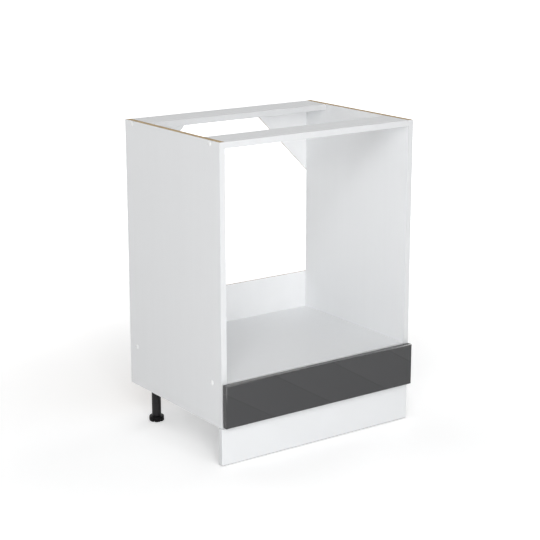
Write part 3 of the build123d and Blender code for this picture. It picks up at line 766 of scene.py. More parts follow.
def set_along_aim(wiring, given, shape):
    """Put a shape at each place along its aim, turned by chance, give it its finish and end the tree."""
    aim = wiring.add("GeometryNodeInputNamedAttribute", {"Name": "aim"}, data_type="FLOAT_VECTOR")
    aligned = wiring.add("FunctionNodeAlignRotationToVector", {"Vector": aim.outputs[0]}, axis="Z")
    chance = wiring.add("FunctionNodeRandomValue", {"Min": 0.0, "Max": 2 * pi, "Seed": 5}, data_type="FLOAT")
    feeds = {"Axis": (0.0, 0.0, 1.0), "Angle": chance.outputs["Value"]}
    spin = wiring.add("FunctionNodeAxisAngleToRotation", feeds)
    feeds = {"Rotation": aligned.outputs[0], "Rotate By": spin.outputs[0]}
    turned_to = wiring.add("FunctionNodeRotateRotation", feeds, rotation_space="LOCAL")
    feeds = {"Points": given["Places"], "Instance": shape, "Rotation": turned_to.outputs[0]}
    result = wiring.add("GeometryNodeInstanceOnPoints", feeds)
    real = wiring.add("GeometryNodeRealizeInstances", {"Geometry": result.outputs[0]})
    feeds = {"Geometry": real.outputs[0], "Material": given["Finish"]}
    finished = wiring.add("GeometryNodeSetMaterial", feeds)
    wiring.add("NodeGroupOutput", {0: finished.outputs[0]})


def raised(wiring, shape, height):
    """A shape moved up."""
    feeds = {"Geometry": shape, "Translation": wiring.vector(0.0, 0.0, height)}
    return wiring.add("GeometryNodeTransform", feeds).outputs[0]


def thread(wiring, radius, depth, pitch, length, start):
    """A thread's ridge: three-sided, wound round a core and closed at both ends."""
    feeds = {"Resolution": 20, "Rotations": length / pitch}
    feeds |= {"Start Radius": radius, "End Radius": radius, "Height": length}
    wound = wiring.add("GeometryNodeCurveSpiral", feeds)
    ridge = wiring.add("GeometryNodeCurvePrimitiveCircle", {"Resolution": 3, "Radius": depth})
    feeds = {"Curve": wound.outputs[0], "Profile Curve": ridge.outputs[0], "Fill Caps": True}
    return raised(wiring, wiring.add("GeometryNodeCurveToMesh", feeds).outputs[0], start)


def cone(wiring, bottom, top, depth, start, sides=24):
    """A closed cone or rod that starts at a height."""
    feeds = {"Vertices": sides, "Radius Bottom": bottom, "Radius Top": top, "Depth": depth}
    return raised(wiring, wiring.add("GeometryNodeMeshCone", feeds).outputs["Mesh"], start)


def screw_tree():
    """Screws: a head with a cross recess, a core with a point, and a thread."""
    wiring, given = new_tree("Screws", SCREW_SIZES)
    length, wide_end, neck, head_height, core_radius, depth, pitch, recess = map(given.get, SCREW_SIZES)
    head = cone(wiring, wide_end, neck, head_height, 0.0, 32)
    narrow = recess * 0.26
    for long, wide, part in ((recess, narrow, 1.3), (narrow, recess, 1.24)):
        bar = wiring.add("GeometryNodeMeshCube", {"Size": wiring.vector(long, wide, head_height * part)})
        feeds = {"Mesh 1": head, "Mesh 2": bar.outputs["Mesh"]}
        head = wiring.add("GeometryNodeMeshBoolean", feeds, operation="DIFFERENCE").outputs[0]
    point = core_radius * 2.4
    body = length - head_height - point
    core = cone(wiring, core_radius, core_radius, body + LAP, head_height - LAP)
    tip = cone(wiring, core_radius * 0.99, POINT_RADIUS, point + LAP, length - point - LAP)
    bare = body * 0.12
    ridge = thread(wiring, core_radius, depth, pitch, body - bare, head_height + bare)
    whole = wiring.add("GeometryNodeJoinGeometry", {"Geometry": [head, core, tip, ridge]})
    set_along_aim(wiring, given, whole.outputs[0])
    return wiring.tree


def repeat_tree():
    """Copies of one small piece."""
    wiring, given = new_tree("Repeat", [], objects=["Piece"])
    shape = wiring.add("GeometryNodeObjectInfo", {"Object": given["Piece"]}, transform_space="ORIGINAL")
    set_along_aim(wiring, given, shape.outputs["Geometry"])
    return wiring.tree


def knob_tree():
    """A foot's knob: notches that part it into lobes, a rounded rim, and a threaded spindle."""
    wiring, given = new_tree("Lobed knob", KNOB_SIZES, ["Lobes"])
    sizes = map(given.get, KNOB_SIZES)
    radius, height, edge, notch_width, notch_depth, notch_height, spindle, reach, pitch = sizes
    math = wiring.math
    feeds = {"Vertices": 192, "Side Segments": 28, "Radius": radius, "Depth": height}
    blank = wiring.add("GeometryNodeMeshCylinder", feeds)
    spot = wiring.add("ShaderNodeSeparateXYZ", {0: wiring.add("GeometryNodeInputPosition").outputs[0]})
    x, y, centred = (Number(wiring, socket) for socket in spot.outputs)
    up = centred + height * 0.5
    lobe = math("FRACT", math("ARCTAN2", y, x) / (2 * pi) * given["Lobes"] + 20.0)
    away = math("ABSOLUTE", lobe - 0.5) * (radius * (2 * pi) / given["Lobes"])
    across = wiring.step(away, notch_width * 0.3, notch_width * 0.8, 1.0, 0.0)
    upwards = wiring.step(up, notch_height - 1.2 * MM, notch_height + 0.6 * MM, 1.0, 0.0)
    over = math("MAXIMUM", up - (height - edge), 0.0)
    square = math("POWER", edge, 2.0) - math("POWER", over, 2.0)
    rounding = edge - math("SQRT", math("MAXIMUM", square, 0.0))
    sole = wiring.step(up, 0.0, MM, 0.8 * MM, 0.0)
    kept = 1.0 - (across * upwards * notch_depth + rounding + sole) / radius
    feeds = {"Geometry": blank.outputs["Mesh"], "Position": wiring.vector(x * kept, y * kept, up)}
    knob = wiring.add("GeometryNodeSetPosition", feeds)
    core = spindle - SPINDLE_THREAD
    rod = cone(wiring, core, core, reach, height, 40)
    ridge = thread(wiring, core, SPINDLE_THREAD, pitch, reach - pitch * 0.8, height + pitch * 0.4)
    whole = wiring.add("GeometryNodeJoinGeometry", {"Geometry": [knob.outputs[0], rod, ridge]})
    set_along_aim(wiring, given, whole.outputs[0])
    return wiring.tree


TREES = {"Screws": screw_tree, "Repeat": repeat_tree, "Lobed knob": knob_tree}


def set_out(name, tree_name, places, values, finish_name, body, nodes):
    """Run a tree on some places and make its result one piece."""
    tree = bpy.data.node_groups.get(tree_name) or TREES[tree_name]()
    data = bpy.data.meshes.new(name)
    data.from_pydata([place for place, aim in places], [], [])
    aims = data.attributes.new("aim", "FLOAT_VECTOR", "POINT")
    for item, (_, aim) in zip(aims.data, places):
        item.vector = aim
    carrier = bpy.data.objects.new(name + "_places", data)
    modifier = carrier.modifiers.new("Set out", "NODES")
    modifier.node_group = tree
    keys = {item.name: item.identifier for item in tree.interface.items_tree if item.in_out == "INPUT"}
    for label, value in {**values, "Finish": finish(finish_name)}.items():
        modifier[keys[label]] = value
    bpy.context.scene.collection.objects.link(carrier)
    bpy.context.view_layer.update()
    depsgraph = bpy.context.evaluated_depsgraph_get()
    result = bpy.data.meshes.new_from_object(carrier.evaluated_get(depsgraph), depsgraph=depsgraph)
    carrier.modifiers.remove(modifier)
    discard(carrier)
    if not result.polygons:
        raise RuntimeError(f"{name}: the tree {tree_name} made nothing")
    mesh = bmesh.new()
    mesh.from_mesh(result)
    bpy.data.meshes.remove(result)
    for face in mesh.faces:
        face.smooth = True
    for edge in mesh.edges:
        edge.smooth = edge.calc_face_angle(pi) < CREASE
    piece(name, mesh, [finish_name], body, nodes)


def repeat(name, template, places, finish_name, body, nodes):
    """Copies of a template mesh at some places, as one piece."""
    pattern = scratch(template)
    set_out(name, "Repeat", places, {"Piece": pattern}, finish_name, body, nodes)
    discard(pattern)


# Boards


class BASEUNIT_OT_side_boards(bpy.types.Operator):
    """Both side panels: melamine faces, sawn edges and the rebate for the hardboard"""

    bl_idname = "base_unit.side_boards"
    bl_label = "Side boards"

    def execute(self, context):
        x0, x1, y0, y1, z0, z1 = limits("side_panel_right")
        strip = limits("back_strip")
        rebate = strip[1] + settings().carcass.rebate_play
        plan = [(x0, y0), (x1, y0), (x1, y1), (rebate, y1), (rebate, strip[2]), (x0, strip[2])]
        for side in SIDES:
            board = prism(plan, "Z", z0, z1)
            board = faced(board, lambda spot, normal: near(spot.x, x0) or near(spot.x, x1))
            if side == "left":
                board = mirrored(board)
            piece(side + "_side_board", board, BOARD, "carcass", ["side_panel_" + side])
        return {"FINISHED"}


class BASEUNIT_OT_cross_boards(bpy.types.Operator):
    """Base, oven shelf and the two top rails"""

    bl_idname = "base_unit.cross_boards"
    bl_label = "Cross boards"

    def execute(self, context):
        sizes = settings().carcass
        x0, x1, y0, y1, z0, z1 = limits("base_panel")
        strip = limits("back_strip")
        rebate = strip[1] + sizes.rebate_play
        floor = strip[4] - sizes.rebate_play
        base = carve(block(x0, x1, y0, y1, z0, z1), block(-rebate, rebate, strip[2], y1 + MM, floor, z1 + MM))
        paint(base, lambda spot, normal: abs(normal.y) > 0.9 or near(abs(spot.x), rebate))
        paint(base, lambda spot, normal: normal.z > 0.9 and near(spot.z, floor))
        ease(base, sizes.band_rounding)
        piece("base_board", base, BOARD, "carcass", ["base_panel"])
        for node, name in (
            ("oven_shelf", "shelf_board"),
            ("top_rail_front", "front_rail_board"),
            ("top_rail_rear", "rear_rail_board"),
        ):
            board = faced(block(*limits(node)), lambda spot, normal: abs(normal.z) > 0.9)
            piece(name, board, BOARD, "carcass", [node])
        return {"FINISHED"}


class BASEUNIT_OT_edge_bands(bpy.types.Operator):
    """Glued bands on the front edges of the carcass and the top edges of the drawer"""

    bl_idname = "base_unit.edge_bands"
    bl_label = "Edge bands"

    def execute(self, context):
        carcass = ["side_panel_right", "side_panel_left", "base_panel"]
        carcass += ["oven_shelf", "top_rail_front", "top_rail_rear"]
        drawer = ["drawer_side_right", "drawer_side_left", "drawer_back"]
        for node, name, body, boards, axis, sign in (
            ("edge_bands", "carcass_bands", "carcass", carcass, 1, -1.0),
            ("drawer_edge_bands", "drawer_bands", "drawer", drawer, 2, 1.0),
        ):
            side = 0 if sign < 0 else 1
            thickness = abs(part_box(node)[side][axis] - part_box(boards[0])[side][axis])
            bands = []
            for board in boards:
                low, high = (Vector(corner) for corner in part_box(board))
                inner = (low, high)[side][axis]
                outer = inner + sign * thickness
                low[axis], high[axis] = min(inner, outer), max(inner, outer)
                band = block(low.x, high.x, low.y, high.y, low.z, high.z)
                bands.append(ease(band, settings().carcass.band_rounding, 3, rim(band, axis, outer)))
            piece(name, joined(bands), ["edging"], body, [node])
        return {"FINISHED"}


class BASEUNIT_OT_hardboard(bpy.types.Operator):
    """Strip and gussets of the back: white lacquer in front, brown fibre behind and on the edges"""

    bl_idname = "base_unit.hardboard"
    bl_label = "Hardboard back"

    def execute(self, context):
        sizes = settings().carcass
        x0, x1, y0, y1, z0, z1 = limits("back_strip")
        sheets = [("back_strip_sheet", "back_strip", block(x0, x1, y0, y1 - sizes.sheet_sink, z0, z1))]
        for side in SIDES:
            node = "back_gusset_" + side
            x0, x1, y0, y1, z0, z1 = limits(node)
            corner, tip = (x1, x0) if side == "right" else (x0, x1)
            sheet = prism([(corner, z1), (tip, z1), (corner, z0)], "Y", y0, y1 - sizes.sheet_sink)
            sheets.append((side + "_gusset_sheet", node, sheet))
        for name, node, sheet in sheets:
            paint(sheet, lambda spot, normal: normal.y < -0.9)
            piece(name, ease(sheet, sizes.sheet_break), SHEET, "carcass", [node])
        return {"FINISHED"}


# Fasteners


class BASEUNIT_OT_screw_caps(bpy.types.Operator):
    """Domed caps over the screws in the sides"""

    bl_idname = "base_unit.screw_caps"
    bl_label = "Screw caps"

    def execute(self, context):
        size = solids("screw_caps")[0][1]
        rise, radius = size.x, max(size.y, size.z) / 2
        skirt = 0.55 * MM
        dome = [(radius * cos(turn), skirt + (rise - skirt) * sin(turn)) for turn in quarter(10)]
        cap = turned([(0.0, 0.0), (radius - 0.25 * MM, 0.0), (radius, 0.2 * MM), *dome, (0.0, rise)])
        places = starts("screw_caps", towards_middle=False)
        repeat("side_caps", cap, places, "white_moulding", "carcass", ["screw_caps"])
        return {"FINISHED"}


class BASEUNIT_OT_screws(bpy.types.Operator):
    """All screws: chipboard screws, wood screws and pan-head screws"""

    bl_idname = "base_unit.screws"
    bl_label = "Screws"

    def execute(self, context):
        proud = {"proud": settings().carcass.head_proud}
        chipboard = {"head": 3.0, "neck": 3.5, "core": 2.5, "depth": 0.9, "pitch": 3.0, "recess": 5.4}
        wood = {"head": 1.8, "neck": 1.75, "core": 1.2, "depth": 0.5, "pitch": 1.5, "recess": 3.8}
        pan = {**wood, "neck": 3.5, "top": 0.72}
        for name, node, body, axis, kind, choices in (
            ("side_screws", "confirmat_screws", "carcass", 0, chipboard, {}),
            ("base_board_screws", "base_screws", "carcass", 2, chipboard, proud),
            ("track_screws", "runner_cabinet_screws", "carcass", 0, wood, {"towards_middle": False, **proud}),
            ("socket_screws", "foot_socket_screws", "carcass", 2, pan, {}),
            ("clip_screws", "plinth_clip_screws", "plinth", 1, pan, {"low_first": False}),
            ("drawer_back_screws", "drawer_screws", "drawer", 0, chipboard, proud),
            ("drawer_bottom_screws", "drawer_screws", "drawer", 2, wood, proud),
            ("ledge_screws", "runner_drawer_screws", "drawer", 2, wood, proud),
        ):
            length, radius = along(node, axis)
            values = {
                "Length": length,
                "Head radius": radius * kind.get("top", 1.0),
                "Neck radius": kind["neck"] * MM,
                "Head height": kind["head"] * MM,
                "Core radius": kind["core"] * MM,
                "Thread depth": kind["depth"] * MM,
                "Pitch": kind["pitch"] * MM,
                "Recess": kind["recess"] * MM,
            }
            places = starts(node, axis, **choices)
            set_out(name, "Screws", places, values, "bright_zinc", body, [node])
        return {"FINISHED"}


class BASEUNIT_OT_nails(bpy.types.Operator):
    """Nails that hold the hardboard, with low round heads"""

    bl_idname = "base_unit.nails"
    bl_label = "Nails"

    def execute(self, context):
        length, radius = along("back_nails", 1)
        sink = settings().carcass.sheet_sink
        turns = [k * pi / 8 for k in range(1, 5)]
        crown = [(radius * 1.5 * sin(turn), sink * (1 - cos(turn))) for turn in turns]
        shank = [(radius * 0.8, 3 * sink), (radius * 0.8, length * 0.85), (0.0, length)]
        nail = turned([(0.0, 0.0), *crown, *shank], 16)
        places = starts("back_nails", 1, low_first=False)
        repeat("hardboard_nails", nail, places, "bright_zinc", "carcass", ["back_nails"])
        return {"FINISHED"}


class BASEUNIT_OT_dowels(bpy.types.Operator):
    """Fluted dowels with chamfered ends"""

    bl_idname = "base_unit.dowels"
    bl_label = "Dowels"

    def execute(self, context):
        flutes, end = 16, 1.2 * MM
        for name, node, body, axis in (
            ("side_dowels", "wood_dowels", "carcass", 0),
            ("base_dowels", "wood_dowels", "carcass", 2),
            ("front_dowels", "drawer_dowels", "drawer", 1),
        ):
            length, radius = along(node, axis)
            profile = [(0.0, 0.0), (radius * 0.8, 0.0), (radius, end), (radius, length - end)]
            dowel = turned([*profile, (radius * 0.8, length), (0.0, length)], 2 * flutes)
            for vert in dowel.verts:
                turn = round((atan2(vert.co.y, vert.co.x) % (2 * pi)) / (pi / flutes))
                if turn % 2:
                    vert.co.xy *= 0.93
            repeat(name, dowel, starts(node, axis), "dowel_beech", body, [node])
        return {"FINISHED"}


# Feet and plinth


class BASEUNIT_OT_feet(bpy.types.Operator):
    """Four adjustable feet: ribbed socket, tube and lobed knob with its spindle"""

    bl_idname = "base_unit.feet"
    bl_label = "Feet"

    def execute(self, context):
        sizes = settings().foot
        outer, bore = solids("foot_tubes")[0][1].x / 2, sizes.spindle_radius + 0.05 * MM
        low, high = limits("foot_tubes")[4:]
        end, rise = 0.6 * MM, high - low
        wall = [(bore, end), (bore + end, 0.0), (outer - end, 0.0), (outer, end)]
        wall += [(outer, rise - end), (outer - end, rise), (bore + end, rise), (bore, rise - end)]
        tube = turned(wall, 64, ring=True)
        places = starts("foot_tubes", 2)
        # The tubes' finish carries painted light; the knobs' and sockets' finish carries painted shade.
        repeat("leg_tubes", tube, places, "black_tube", "carcass", ["foot_tubes"])
        black = ["black_moulding"]
        for corner in ("front_left", "front_right", "rear_left", "rear_right"):
            node = "foot_base_" + corner
            x0, x1, y0, y1, z0, z1 = limits(node)
            values = {
                "Radius": (x1 - x0) / 2,
                "Height": sizes.knob_height,
                "Rim": sizes.knob_rim,
                "Notch width": sizes.notch_width,
                "Notch depth": sizes.notch_depth,
                "Notch height": sizes.notch_height,
                "Spindle radius": sizes.spindle_radius,
                "Spindle length": z1 - z0 - sizes.knob_height,
                "Pitch": sizes.thread_pitch,
                "Lobes": sizes.lobes,
            }
            places = [(Vector(((x0 + x1) / 2, (y0 + y1) / 2, z0)), Vector((0.0, 0.0, 1.0)))]
            body = "foot_" + corner
            set_out(corner + "_knob", "Lobed knob", places, values, black[0], body, [node])
            node = "foot_socket_" + corner
            socket = self.socket(node, outer, high)
            piece(corner + "_socket", socket, black, "carcass", [node])
        return {"FINISHED"}

    def socket(self, node, outer, top):
        """A socket: bevelled plate, four webs round the tube and the cross that holds it."""
        sizes = settings().foot
        x0, x1, y0, y1, z0, z1 = limits(node)
        half, cut = (x1 - x0) / 2, 8.0 * MM
        ring = [(half - cut, -half), (half, cut - half), (half, half - cut), (half - cut, half)]
        plate = [*ring, *((-x, -y) for x, y in ring)]
        meshes = [ease(prism(plate, "Z", top, z1), sizes.moulding_rounding, 3)]
        reach, bar = sizes.spindle_radius - 0.3 * MM, 2.0 * MM
        cross = [(bar, -reach), (bar, -bar), (reach, -bar), (reach, bar), (bar, bar), (bar, reach)]
        cross += [(-x, -y) for x, y in cross]
        meshes.append(prism(cross, "Z", z0, top + MM))
        start, tip, sunk, thick = outer + 0.1 * MM, half - 3 * MM, top + 0.5 * MM, 0.8 * MM
        web = [(start, sunk), (tip, sunk), (tip, top - MM), (start, top - 7 * MM)]
        for turn in range(4):
            rib = ease(prism(web, "Y", -thick, thick), 0.25 * MM)
            meshes.append(placed(rib, Matrix.Rotation(turn * pi / 2, 4, "Z")))
        return placed(joined(meshes), Matrix.Translation(((x0 + x1) / 2, (y0 + y1) / 2, 0.0)))


class BASEUNIT_OT_plinth(bpy.types.Operator):
    """Plinth board and the two clips that grip the front feet"""

    bl_idname = "base_unit.plinth"
    bl_label = "Plinth"

    def execute(self, context):
        sizes = settings().foot
        board = ease(block(*limits("plinth_panel")), 1.5 * MM, 3)
        # Painted shade: the faces that look down get the darker second finish.
        paint(board, lambda spot, normal: normal.z < -0.1)
        finishes = ["plinth_foil", "sealed_edge"]
        piece("plinth_board", board, finishes, "plinth", ["plinth_panel"])
        grip = solids("foot_tubes")[0][1].x / 2 + 0.08 * MM
        for side in SIDES:
            node = "plinth_clip_" + side
            x0, x1, y0, y1, z0, z1 = limits(node)
            foot = limits("foot_base_front_" + side)
            at = Vector(((foot[0] + foot[1]) / 2, (foot[2] + foot[3]) / 2))
            outline = self.outline(at, grip, y0, y1, (x1 - x0) / 2, sizes)
            clip = ease(prism(outline, "Z", z0, z1), sizes.moulding_rounding)
            piece(side + "_clip", clip, ["black_moulding"], "plinth", [node])
        return {"FINISHED"}

    def outline(self, at, grip, rear_of_plinth, tips, half, sizes):
        """A clip from above: plate, neck and jaws that are open to the rear."""
        jaw, neck = grip + sizes.clip_wall, sizes.clip_neck / 2
        plate = rear_of_plinth + sizes.clip_plate
        foot_of_jaw = atan2(-sqrt(jaw**2 - neck**2), neck)
        right = [(at.x + x, y) for x, y in ((half, rear_of_plinth), (half, plate), (neck, plate))]
        outer = [foot_of_jaw * (1 - k / 12) for k in range(13)]
        inner = [-pi * k / 24 for k in range(13)]
        right += [(at.x + jaw * cos(turn), at.y + jaw * sin(turn)) for turn in outer]
        right += [(at.x + jaw, tips), (at.x + grip, tips)]
        right += [(at.x + grip * cos(turn), at.y + grip * sin(turn)) for turn in inner]
        return right + [(2 * at.x - x, y) for x, y in reversed(right[:-1])]


# Drawer


class BASEUNIT_OT_drawer_front(bpy.types.Operator):
    """Dark gloss front, rounded round its face"""

    bl_idname = "base_unit.drawer_front"
    bl_label = "Drawer front"

    def execute(self, context):
        box = limits("drawer_front")
        panel = block(*box)
        ease(panel, settings().drawer.front_rounding, 8, rim(panel, 1, box[2]))
        ease(panel, 0.4 * MM, 2, rim(panel, 1, box[3]))
        piece("gloss_front", panel, ["dark_gloss"], "drawer", ["drawer_front"])
        return {"FINISHED"}


class BASEUNIT_OT_drawer_box(bpy.types.Operator):
    """Sides, back and bottom of the drawer"""

    bl_idname = "base_unit.drawer_box"
    bl_label = "Drawer box"

    def execute(self, context):
        sizes = settings().drawer
        bottom = limits("drawer_bottom")
        low, high = bottom[4] - sizes.groove_play, bottom[5] + sizes.groove_play
        x0, x1, y0, y1, z0, z1 = limits("drawer_side_right")
        deep = x0 + sizes.groove_depth
        outline = [(x0, z0), (x1, z0), (x1, z1), (x0, z1), (x0, high), (deep, high), (deep, low), (x0, low)]
        middle, size = solids("drawer_cams")[1]
        radius, height = size.y / 2 + 0.05 * MM, size.x + MM
        into_side = Matrix.Translation((x0 - MM, middle.y, middle.z)) @ Matrix.Rotation(pi / 2, 4, "Y")
        for side in SIDES:
            drum = turned([(0.0, 0.0), (radius, 0.0), (radius, height), (0.0, height)])
            board = carve(prism(outline, "Y", y0, y1), placed(drum, into_side))
            board = faced(board, lambda spot, normal: abs(normal.x) > 0.9 and not near(spot.x, deep))
            if side == "left":
                board = mirrored(board)
            piece(side + "_drawer_board", board, BOARD, "drawer", ["drawer_side_" + side])
        board = faced(block(*limits("drawer_back")), lambda spot, normal: abs(normal.y) > 0.9)
        piece("rear_drawer_board", board, BOARD, "drawer", ["drawer_back"])
        sheet = paint(block(*bottom), lambda spot, normal: normal.z > 0.9)
        ease(sheet, settings().carcass.sheet_break)
        piece("drawer_bottom_sheet", sheet, SHEET, "drawer", ["drawer_bottom"])
        return {"FINISHED"}


class BASEUNIT_OT_drawer_fittings(bpy.types.Operator):
    """Cams with their slots, cam bolts and the bumpers behind the front"""

    bl_idname = "base_unit.drawer_fittings"
    bl_label = "Drawer fittings"

    def execute(self, context):
        size = solids("drawer_cams")[0][1]
        radius, height, chamfer = size.y / 2, size.x, 0.4 * MM
        profile = [(0.0, 0.0), (radius - chamfer, 0.0), (radius, chamfer), (radius, height), (0.0, height)]
        drum = turned(profile)
        for width, depth in ((8.6 * MM, 1.5 * MM), (1.5 * MM, 5.0 * MM)):
            drum = carve(drum, block(-width / 2, width / 2, -depth / 2, depth / 2, -MM, 1.6 * MM))
        places = starts("drawer_cams", towards_middle=False)
        repeat("cam_drums", drum, places, "bright_zinc", "drawer", ["drawer_cams"])
        bolts = frame["nodes"]["drawer_cam_bolts"].data
        bolts.materials.clear()
        bolts.materials.append(finish("bright_zinc"))
        size = solids("drawer_bumpers")[0][1]
        radius, height = max(size.x, size.z) / 2, size.y
        dome = [(radius * cos(turn), height * (0.35 + 0.65 * sin(turn))) for turn in quarter(10)]
        bumper = turned([(0.0, 0.0), (radius, 0.0), *dome, (0.0, height)], 32)
        back = Vector((0.0, 1.0, 0.0))
        places = [(middle - back * (height / 2), back) for middle, size in solids("drawer_bumpers")]
        node = "drawer_bumpers"
        repeat("front_bumpers", bumper, places, "bumper_silicone", "drawer", [node])
        return {"FINISHED"}


# Runners


def bent_sheet(points, radii, thickness):
    """The section of bent sheet: a line with rounded corners, and the sheet on its right."""
    line, offset = [], []
    knees = [Vector(point) for point in points]
    ways = [(after - before).normalized() for before, after in zip(knees, knees[1:])]
    for k, corner in enumerate(knees):
        if k in (0, len(ways)):
            way = ways[0] if k == 0 else ways[-1]
            line.append(corner)
            offset.append(corner + Vector((way.y, -way.x)) * thickness)
            continue
        before, after, radius = ways[k - 1], ways[k], radii[k - 1]
        side = 1.0 if before.x * after.y - before.y * after.x > 0 else -1.0
        centre = corner + (after - before) * radius
        for step in range(7):
            turn = step / 6 * pi / 2
            out = Vector((before.y, -before.x)) * cos(turn) * side + before * sin(turn)
            line.append(centre + out * radius)
            offset.append(centre + out * (radius + side * thickness))
    return [tuple(point) for point in line + offset[::-1]]


class BASEUNIT_OT_runners(bpy.types.Operator):
    """Roller runners: a track on each side panel and a ledge on each drawer side"""

    bl_idname = "base_unit.runners"
    bl_label = "Runners"

    def execute(self, context):
        sizes = settings().drawer
        for side in SIDES:
            for shape, name, node, body in (
                (self.track(sizes), "_track", "runner_cabinet_", "carcass"),
                (self.ledge(sizes), "_ledge", "runner_drawer_", "drawer"),
            ):
                mesh = shape if side == "right" else mirrored(shape)
                ease(mesh, sizes.steel * 0.18)
                piece(side + name, mesh, ["coated_steel"], body, [node + side])
        return {"FINISHED"}

    def track(self, sizes):
        """The right cabinet member: a channel with a lanced stop in its floor."""
        x0, x1, y0, y1, z0, z1 = limits("runner_cabinet_right")
        line = [(x0, z1), (x1, z1), (x1, z0), (x0, z0)]
        channel = prism(bent_sheet(line, [sizes.bend, sizes.bend], sizes.steel), "Y", y0, y1)
        roller, size = solids("rear_rollers")[1]
        radius = size.z / 2
        drop = radius + sizes.roller_play - sizes.stop_height
        travel = frame["joints"][0]["range_m"][1]
        stop = roller.y - travel - sqrt(radius**2 - drop**2) - sizes.roller_play
        edge = x1 - sizes.steel - sizes.bend
        end, bend, play = edge - 6.0 * MM, stop - sizes.steel, 0.02 * MM
        through = z0 + sizes.steel + 0.3 * MM
        channel = carve(channel, block(end, edge, bend - sizes.stop_height, bend, z0 - MM, through))
        top = z0 + sizes.steel + sizes.stop_height
        return joined([channel, block(end + play, edge - play, bend + play, stop, z0 + play, top)])

    def ledge(self, sizes):
        """The right drawer member: a leg under the side, a web up its face and a ledge."""
        x0, x1, y0, y1, z0, z1 = limits("runner_drawer_right")
        side = limits("drawer_side_right")
        line = [(x0, side[4]), (side[1], side[4]), (side[1], z1), (x1, z1)]
        rail = prism(bent_sheet(line, [0.0, sizes.bend], sizes.steel), "Y", y0, y1)
        roller, size = solids("rear_rollers")[1]
        cut = roller.y - size.z / 2 - 2.0 * MM
        return carve(rail, block(side[1] + sizes.steel, x1 + MM, cut, y1 + MM, side[4], z1 + MM))


class BASEUNIT_OT_rollers(bpy.types.Operator):
    """Nylon rollers with hub and rim, and the rivets that they turn on"""

    bl_idname = "base_unit.rollers"
    bl_label = "Rollers"

    def execute(self, context):
        bore, slope, chamfer, dish = 2.55 * MM, 0.3 * MM, 0.5 * MM, 1.3 * MM
        shank, plate, sunk = bore - 0.05 * MM, 0.9 * MM, 0.1 * MM
        for end, inwards, carrier in (("front", True, "carcass"), ("rear", False, "drawer")):
            body, pins = end + "_rollers", end + "_roller_pins"
            size = solids(body)[0][1]
            radius, width = size.z / 2, size.x
            hub, lip = bore + 2.2 * MM, radius - 2.0 * MM
            profile = [(bore, 0.0), (hub, 0.0), (hub + slope, dish), (lip - slope, dish), (lip, 0.0)]
            profile += [(radius - chamfer, 0.0), (radius, chamfer), (radius, width - chamfer)]
            profile += [(radius - chamfer, width), (lip, width), (lip - slope, width - dish)]
            profile += [(hub + slope, width - dish), (hub, width), (bore, width)]
            roller = turned(profile, 64, ring=True)
            places = starts(body, towards_middle=inwards)
            repeat(end + "_wheels", roller, places, "roller_nylon", body, [body])
            size = solids(pins)[0][1]
            length, head, crown = size.x, max(size.yz) / 2, plate * 0.8
            dome = [(head * cos(turn), length - crown + crown * sin(turn)) for turn in quarter(6)]
            rivet = [(0.0, sunk), (shank, sunk), (shank, length - plate), (head, length - plate)]
            rivet = turned([*rivet, *dome, (0.0, length)], 32)
            places = starts(pins, towards_middle=inwards)
            repeat(end + "_rivets", rivet, places, "bright_zinc", carrier, [pins])
        return {"FINISHED"}


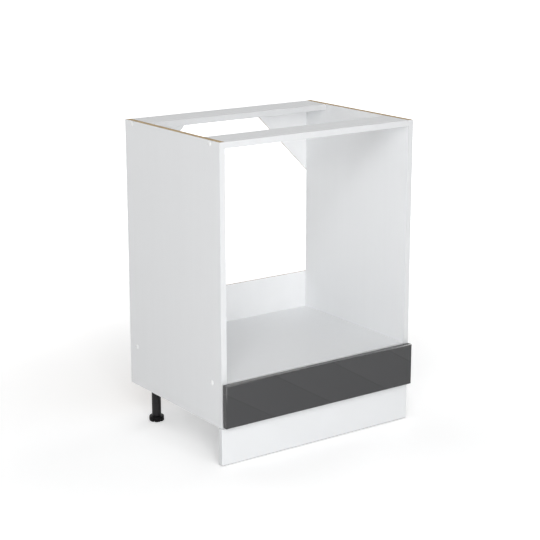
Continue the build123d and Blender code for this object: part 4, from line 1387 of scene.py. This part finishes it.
class BASEUNIT_OT_studio(bpy.types.Operator):
    """Pale floor, soft light and the camera"""

    bl_idname = "base_unit.studio"
    bl_label = "Studio"

    def execute(self, context):
        studio = settings().studio
        self.floor(studio)
        self.sky(studio)
        middle = (0.0, 0.0, 0.45)
        for name, power, size, place, target in (
            ("key_lamp", studio.key_power, 2.6, (-2.58, -3.68, 2.64), middle),
            ("fill_lamp", studio.fill_power, 1.2, (-0.46, -1.84, 0.62), (0.20, 0.0, 0.36)),
            ("right_lamp", studio.right_power, 2.6, (4.78, 1.28, 1.15), middle),
            ("rear_lamp", studio.rear_power, 2.6, (-0.86, 4.88, 1.15), middle),
        ):
            self.lamp(name, power, size, Vector(place), Vector(target))
        lens = bpy.data.cameras.new("camera")
        lens.lens = studio.lens
        lens.clip_end = 60.0
        camera = bpy.data.objects.new("camera", lens)
        camera.location = studio.camera_at
        camera.rotation_euler = (pi / 2 - studio.camera_dip, 0.0, -studio.camera_turn)
        context.scene.collection.objects.link(camera)
        context.scene.camera = camera
        context.scene.view_settings.view_transform = "Standard"
        return {"FINISHED"}

    def lamp(self, name, power, size, place, target):
        """A square soft lamp that faces a point."""
        data = bpy.data.lights.new(name, "AREA")
        data.shape = "SQUARE"
        data.size = size
        data.energy = power
        lamp = bpy.data.objects.new(name, data)
        lamp.location = place
        lamp.rotation_euler = (target - place).to_track_quat("-Z", "Y").to_euler()
        bpy.context.scene.collection.objects.link(lamp)

    def seen(self, wiring):
        """One where the camera, a reflection or a see-through piece looks, and nought for light."""
        path = wiring.add("ShaderNodeLightPath").outputs
        either = wiring.math("MAXIMUM", path["Is Camera Ray"], path["Is Glossy Ray"])
        return wiring.math("MAXIMUM", either, path["Is Transmission Ray"])

    def floor(self, studio):
        """A wide floor that keeps the unit's shadow and pales with distance."""
        white = (1.0, 1.0, 1.0, 1.0)
        made = Finish("pale_floor", Roughness=0.9, Specular_IOR_Level=0.1, Emission_Color=white)
        made.colour(made.clouds(studio.floor, 0.006, 2.0))
        away = made.add("ShaderNodeVectorMath", {0: made.place}, operation="LENGTH").outputs["Value"]
        lift = self.seen(made) * made.step(away, 0.45, 2.4, studio.floor_lift, studio.far_lift)
        made.feed(made.shader.inputs["Emission Strength"], lift)
        mesh = bmesh.new()
        bmesh.ops.create_grid(mesh, x_segments=4, y_segments=4, size=14.0)
        data = bpy.data.meshes.new("floor")
        mesh.to_mesh(data)
        mesh.free()
        data.materials.append(made.material)
        ground = bpy.data.objects.new("floor", data)
        bpy.context.scene.collection.objects.link(ground)

    def sky(self, studio):
        """White to the eye, and an even light that is stronger from above."""
        world = bpy.data.worlds.new("studio")
        world.use_nodes = True
        bpy.context.scene.world = world
        wiring = Wiring(world.node_tree)
        seen = self.seen(wiring)
        way = wiring.add("ShaderNodeTexCoord").outputs["Generated"]
        height = wiring.add("ShaderNodeSeparateXYZ", {0: way}).outputs["Z"]
        above = wiring.math("MAXIMUM", height, 0.0) * studio.sky_top
        strength = seen + (1.0 - seen) * (above + studio.sky)
        backdrop = world.node_tree.nodes["Background"]
        backdrop.inputs["Color"].default_value = (1.0, 1.0, 1.0, 1.0)
        wiring.feed(backdrop.inputs["Strength"], strength)


OPERATORS = [
    BASEUNIT_OT_studio,
    BASEUNIT_OT_side_boards,
    BASEUNIT_OT_cross_boards,
    BASEUNIT_OT_edge_bands,
    BASEUNIT_OT_hardboard,
    BASEUNIT_OT_screw_caps,
    BASEUNIT_OT_screws,
    BASEUNIT_OT_nails,
    BASEUNIT_OT_dowels,
    BASEUNIT_OT_feet,
    BASEUNIT_OT_plinth,
    BASEUNIT_OT_drawer_front,
    BASEUNIT_OT_drawer_box,
    BASEUNIT_OT_drawer_fittings,
    BASEUNIT_OT_runners,
    BASEUNIT_OT_rollers,
]


class BASEUNIT_PT_panel(bpy.types.Panel):
    """Lists what can be made"""

    bl_label = "Base unit"
    bl_space_type = "VIEW_3D"
    bl_region_type = "UI"
    bl_category = "Base unit"

    def draw(self, context):
        for operator in OPERATORS:
            self.layout.operator(operator.bl_idname)


CLASSES = [CarcassSizes, DrawerSizes, FootSizes, Colours, Studio, BaseUnit, *OPERATORS, BASEUNIT_PT_panel]


def register():
    for each in CLASSES:
        bpy.utils.register_class(each)
    bpy.types.Scene.base_unit = PointerProperty(type=BaseUnit)


def unregister():
    del bpy.types.Scene.base_unit
    for each in reversed(CLASSES):
        bpy.utils.unregister_class(each)


def main():
    """Make every piece and the studio."""
    register()
    for operator in OPERATORS:
        group, name = operator.bl_idname.split(".")
        getattr(getattr(bpy.ops, group), name)()


if __name__ == "__main__":
    main()
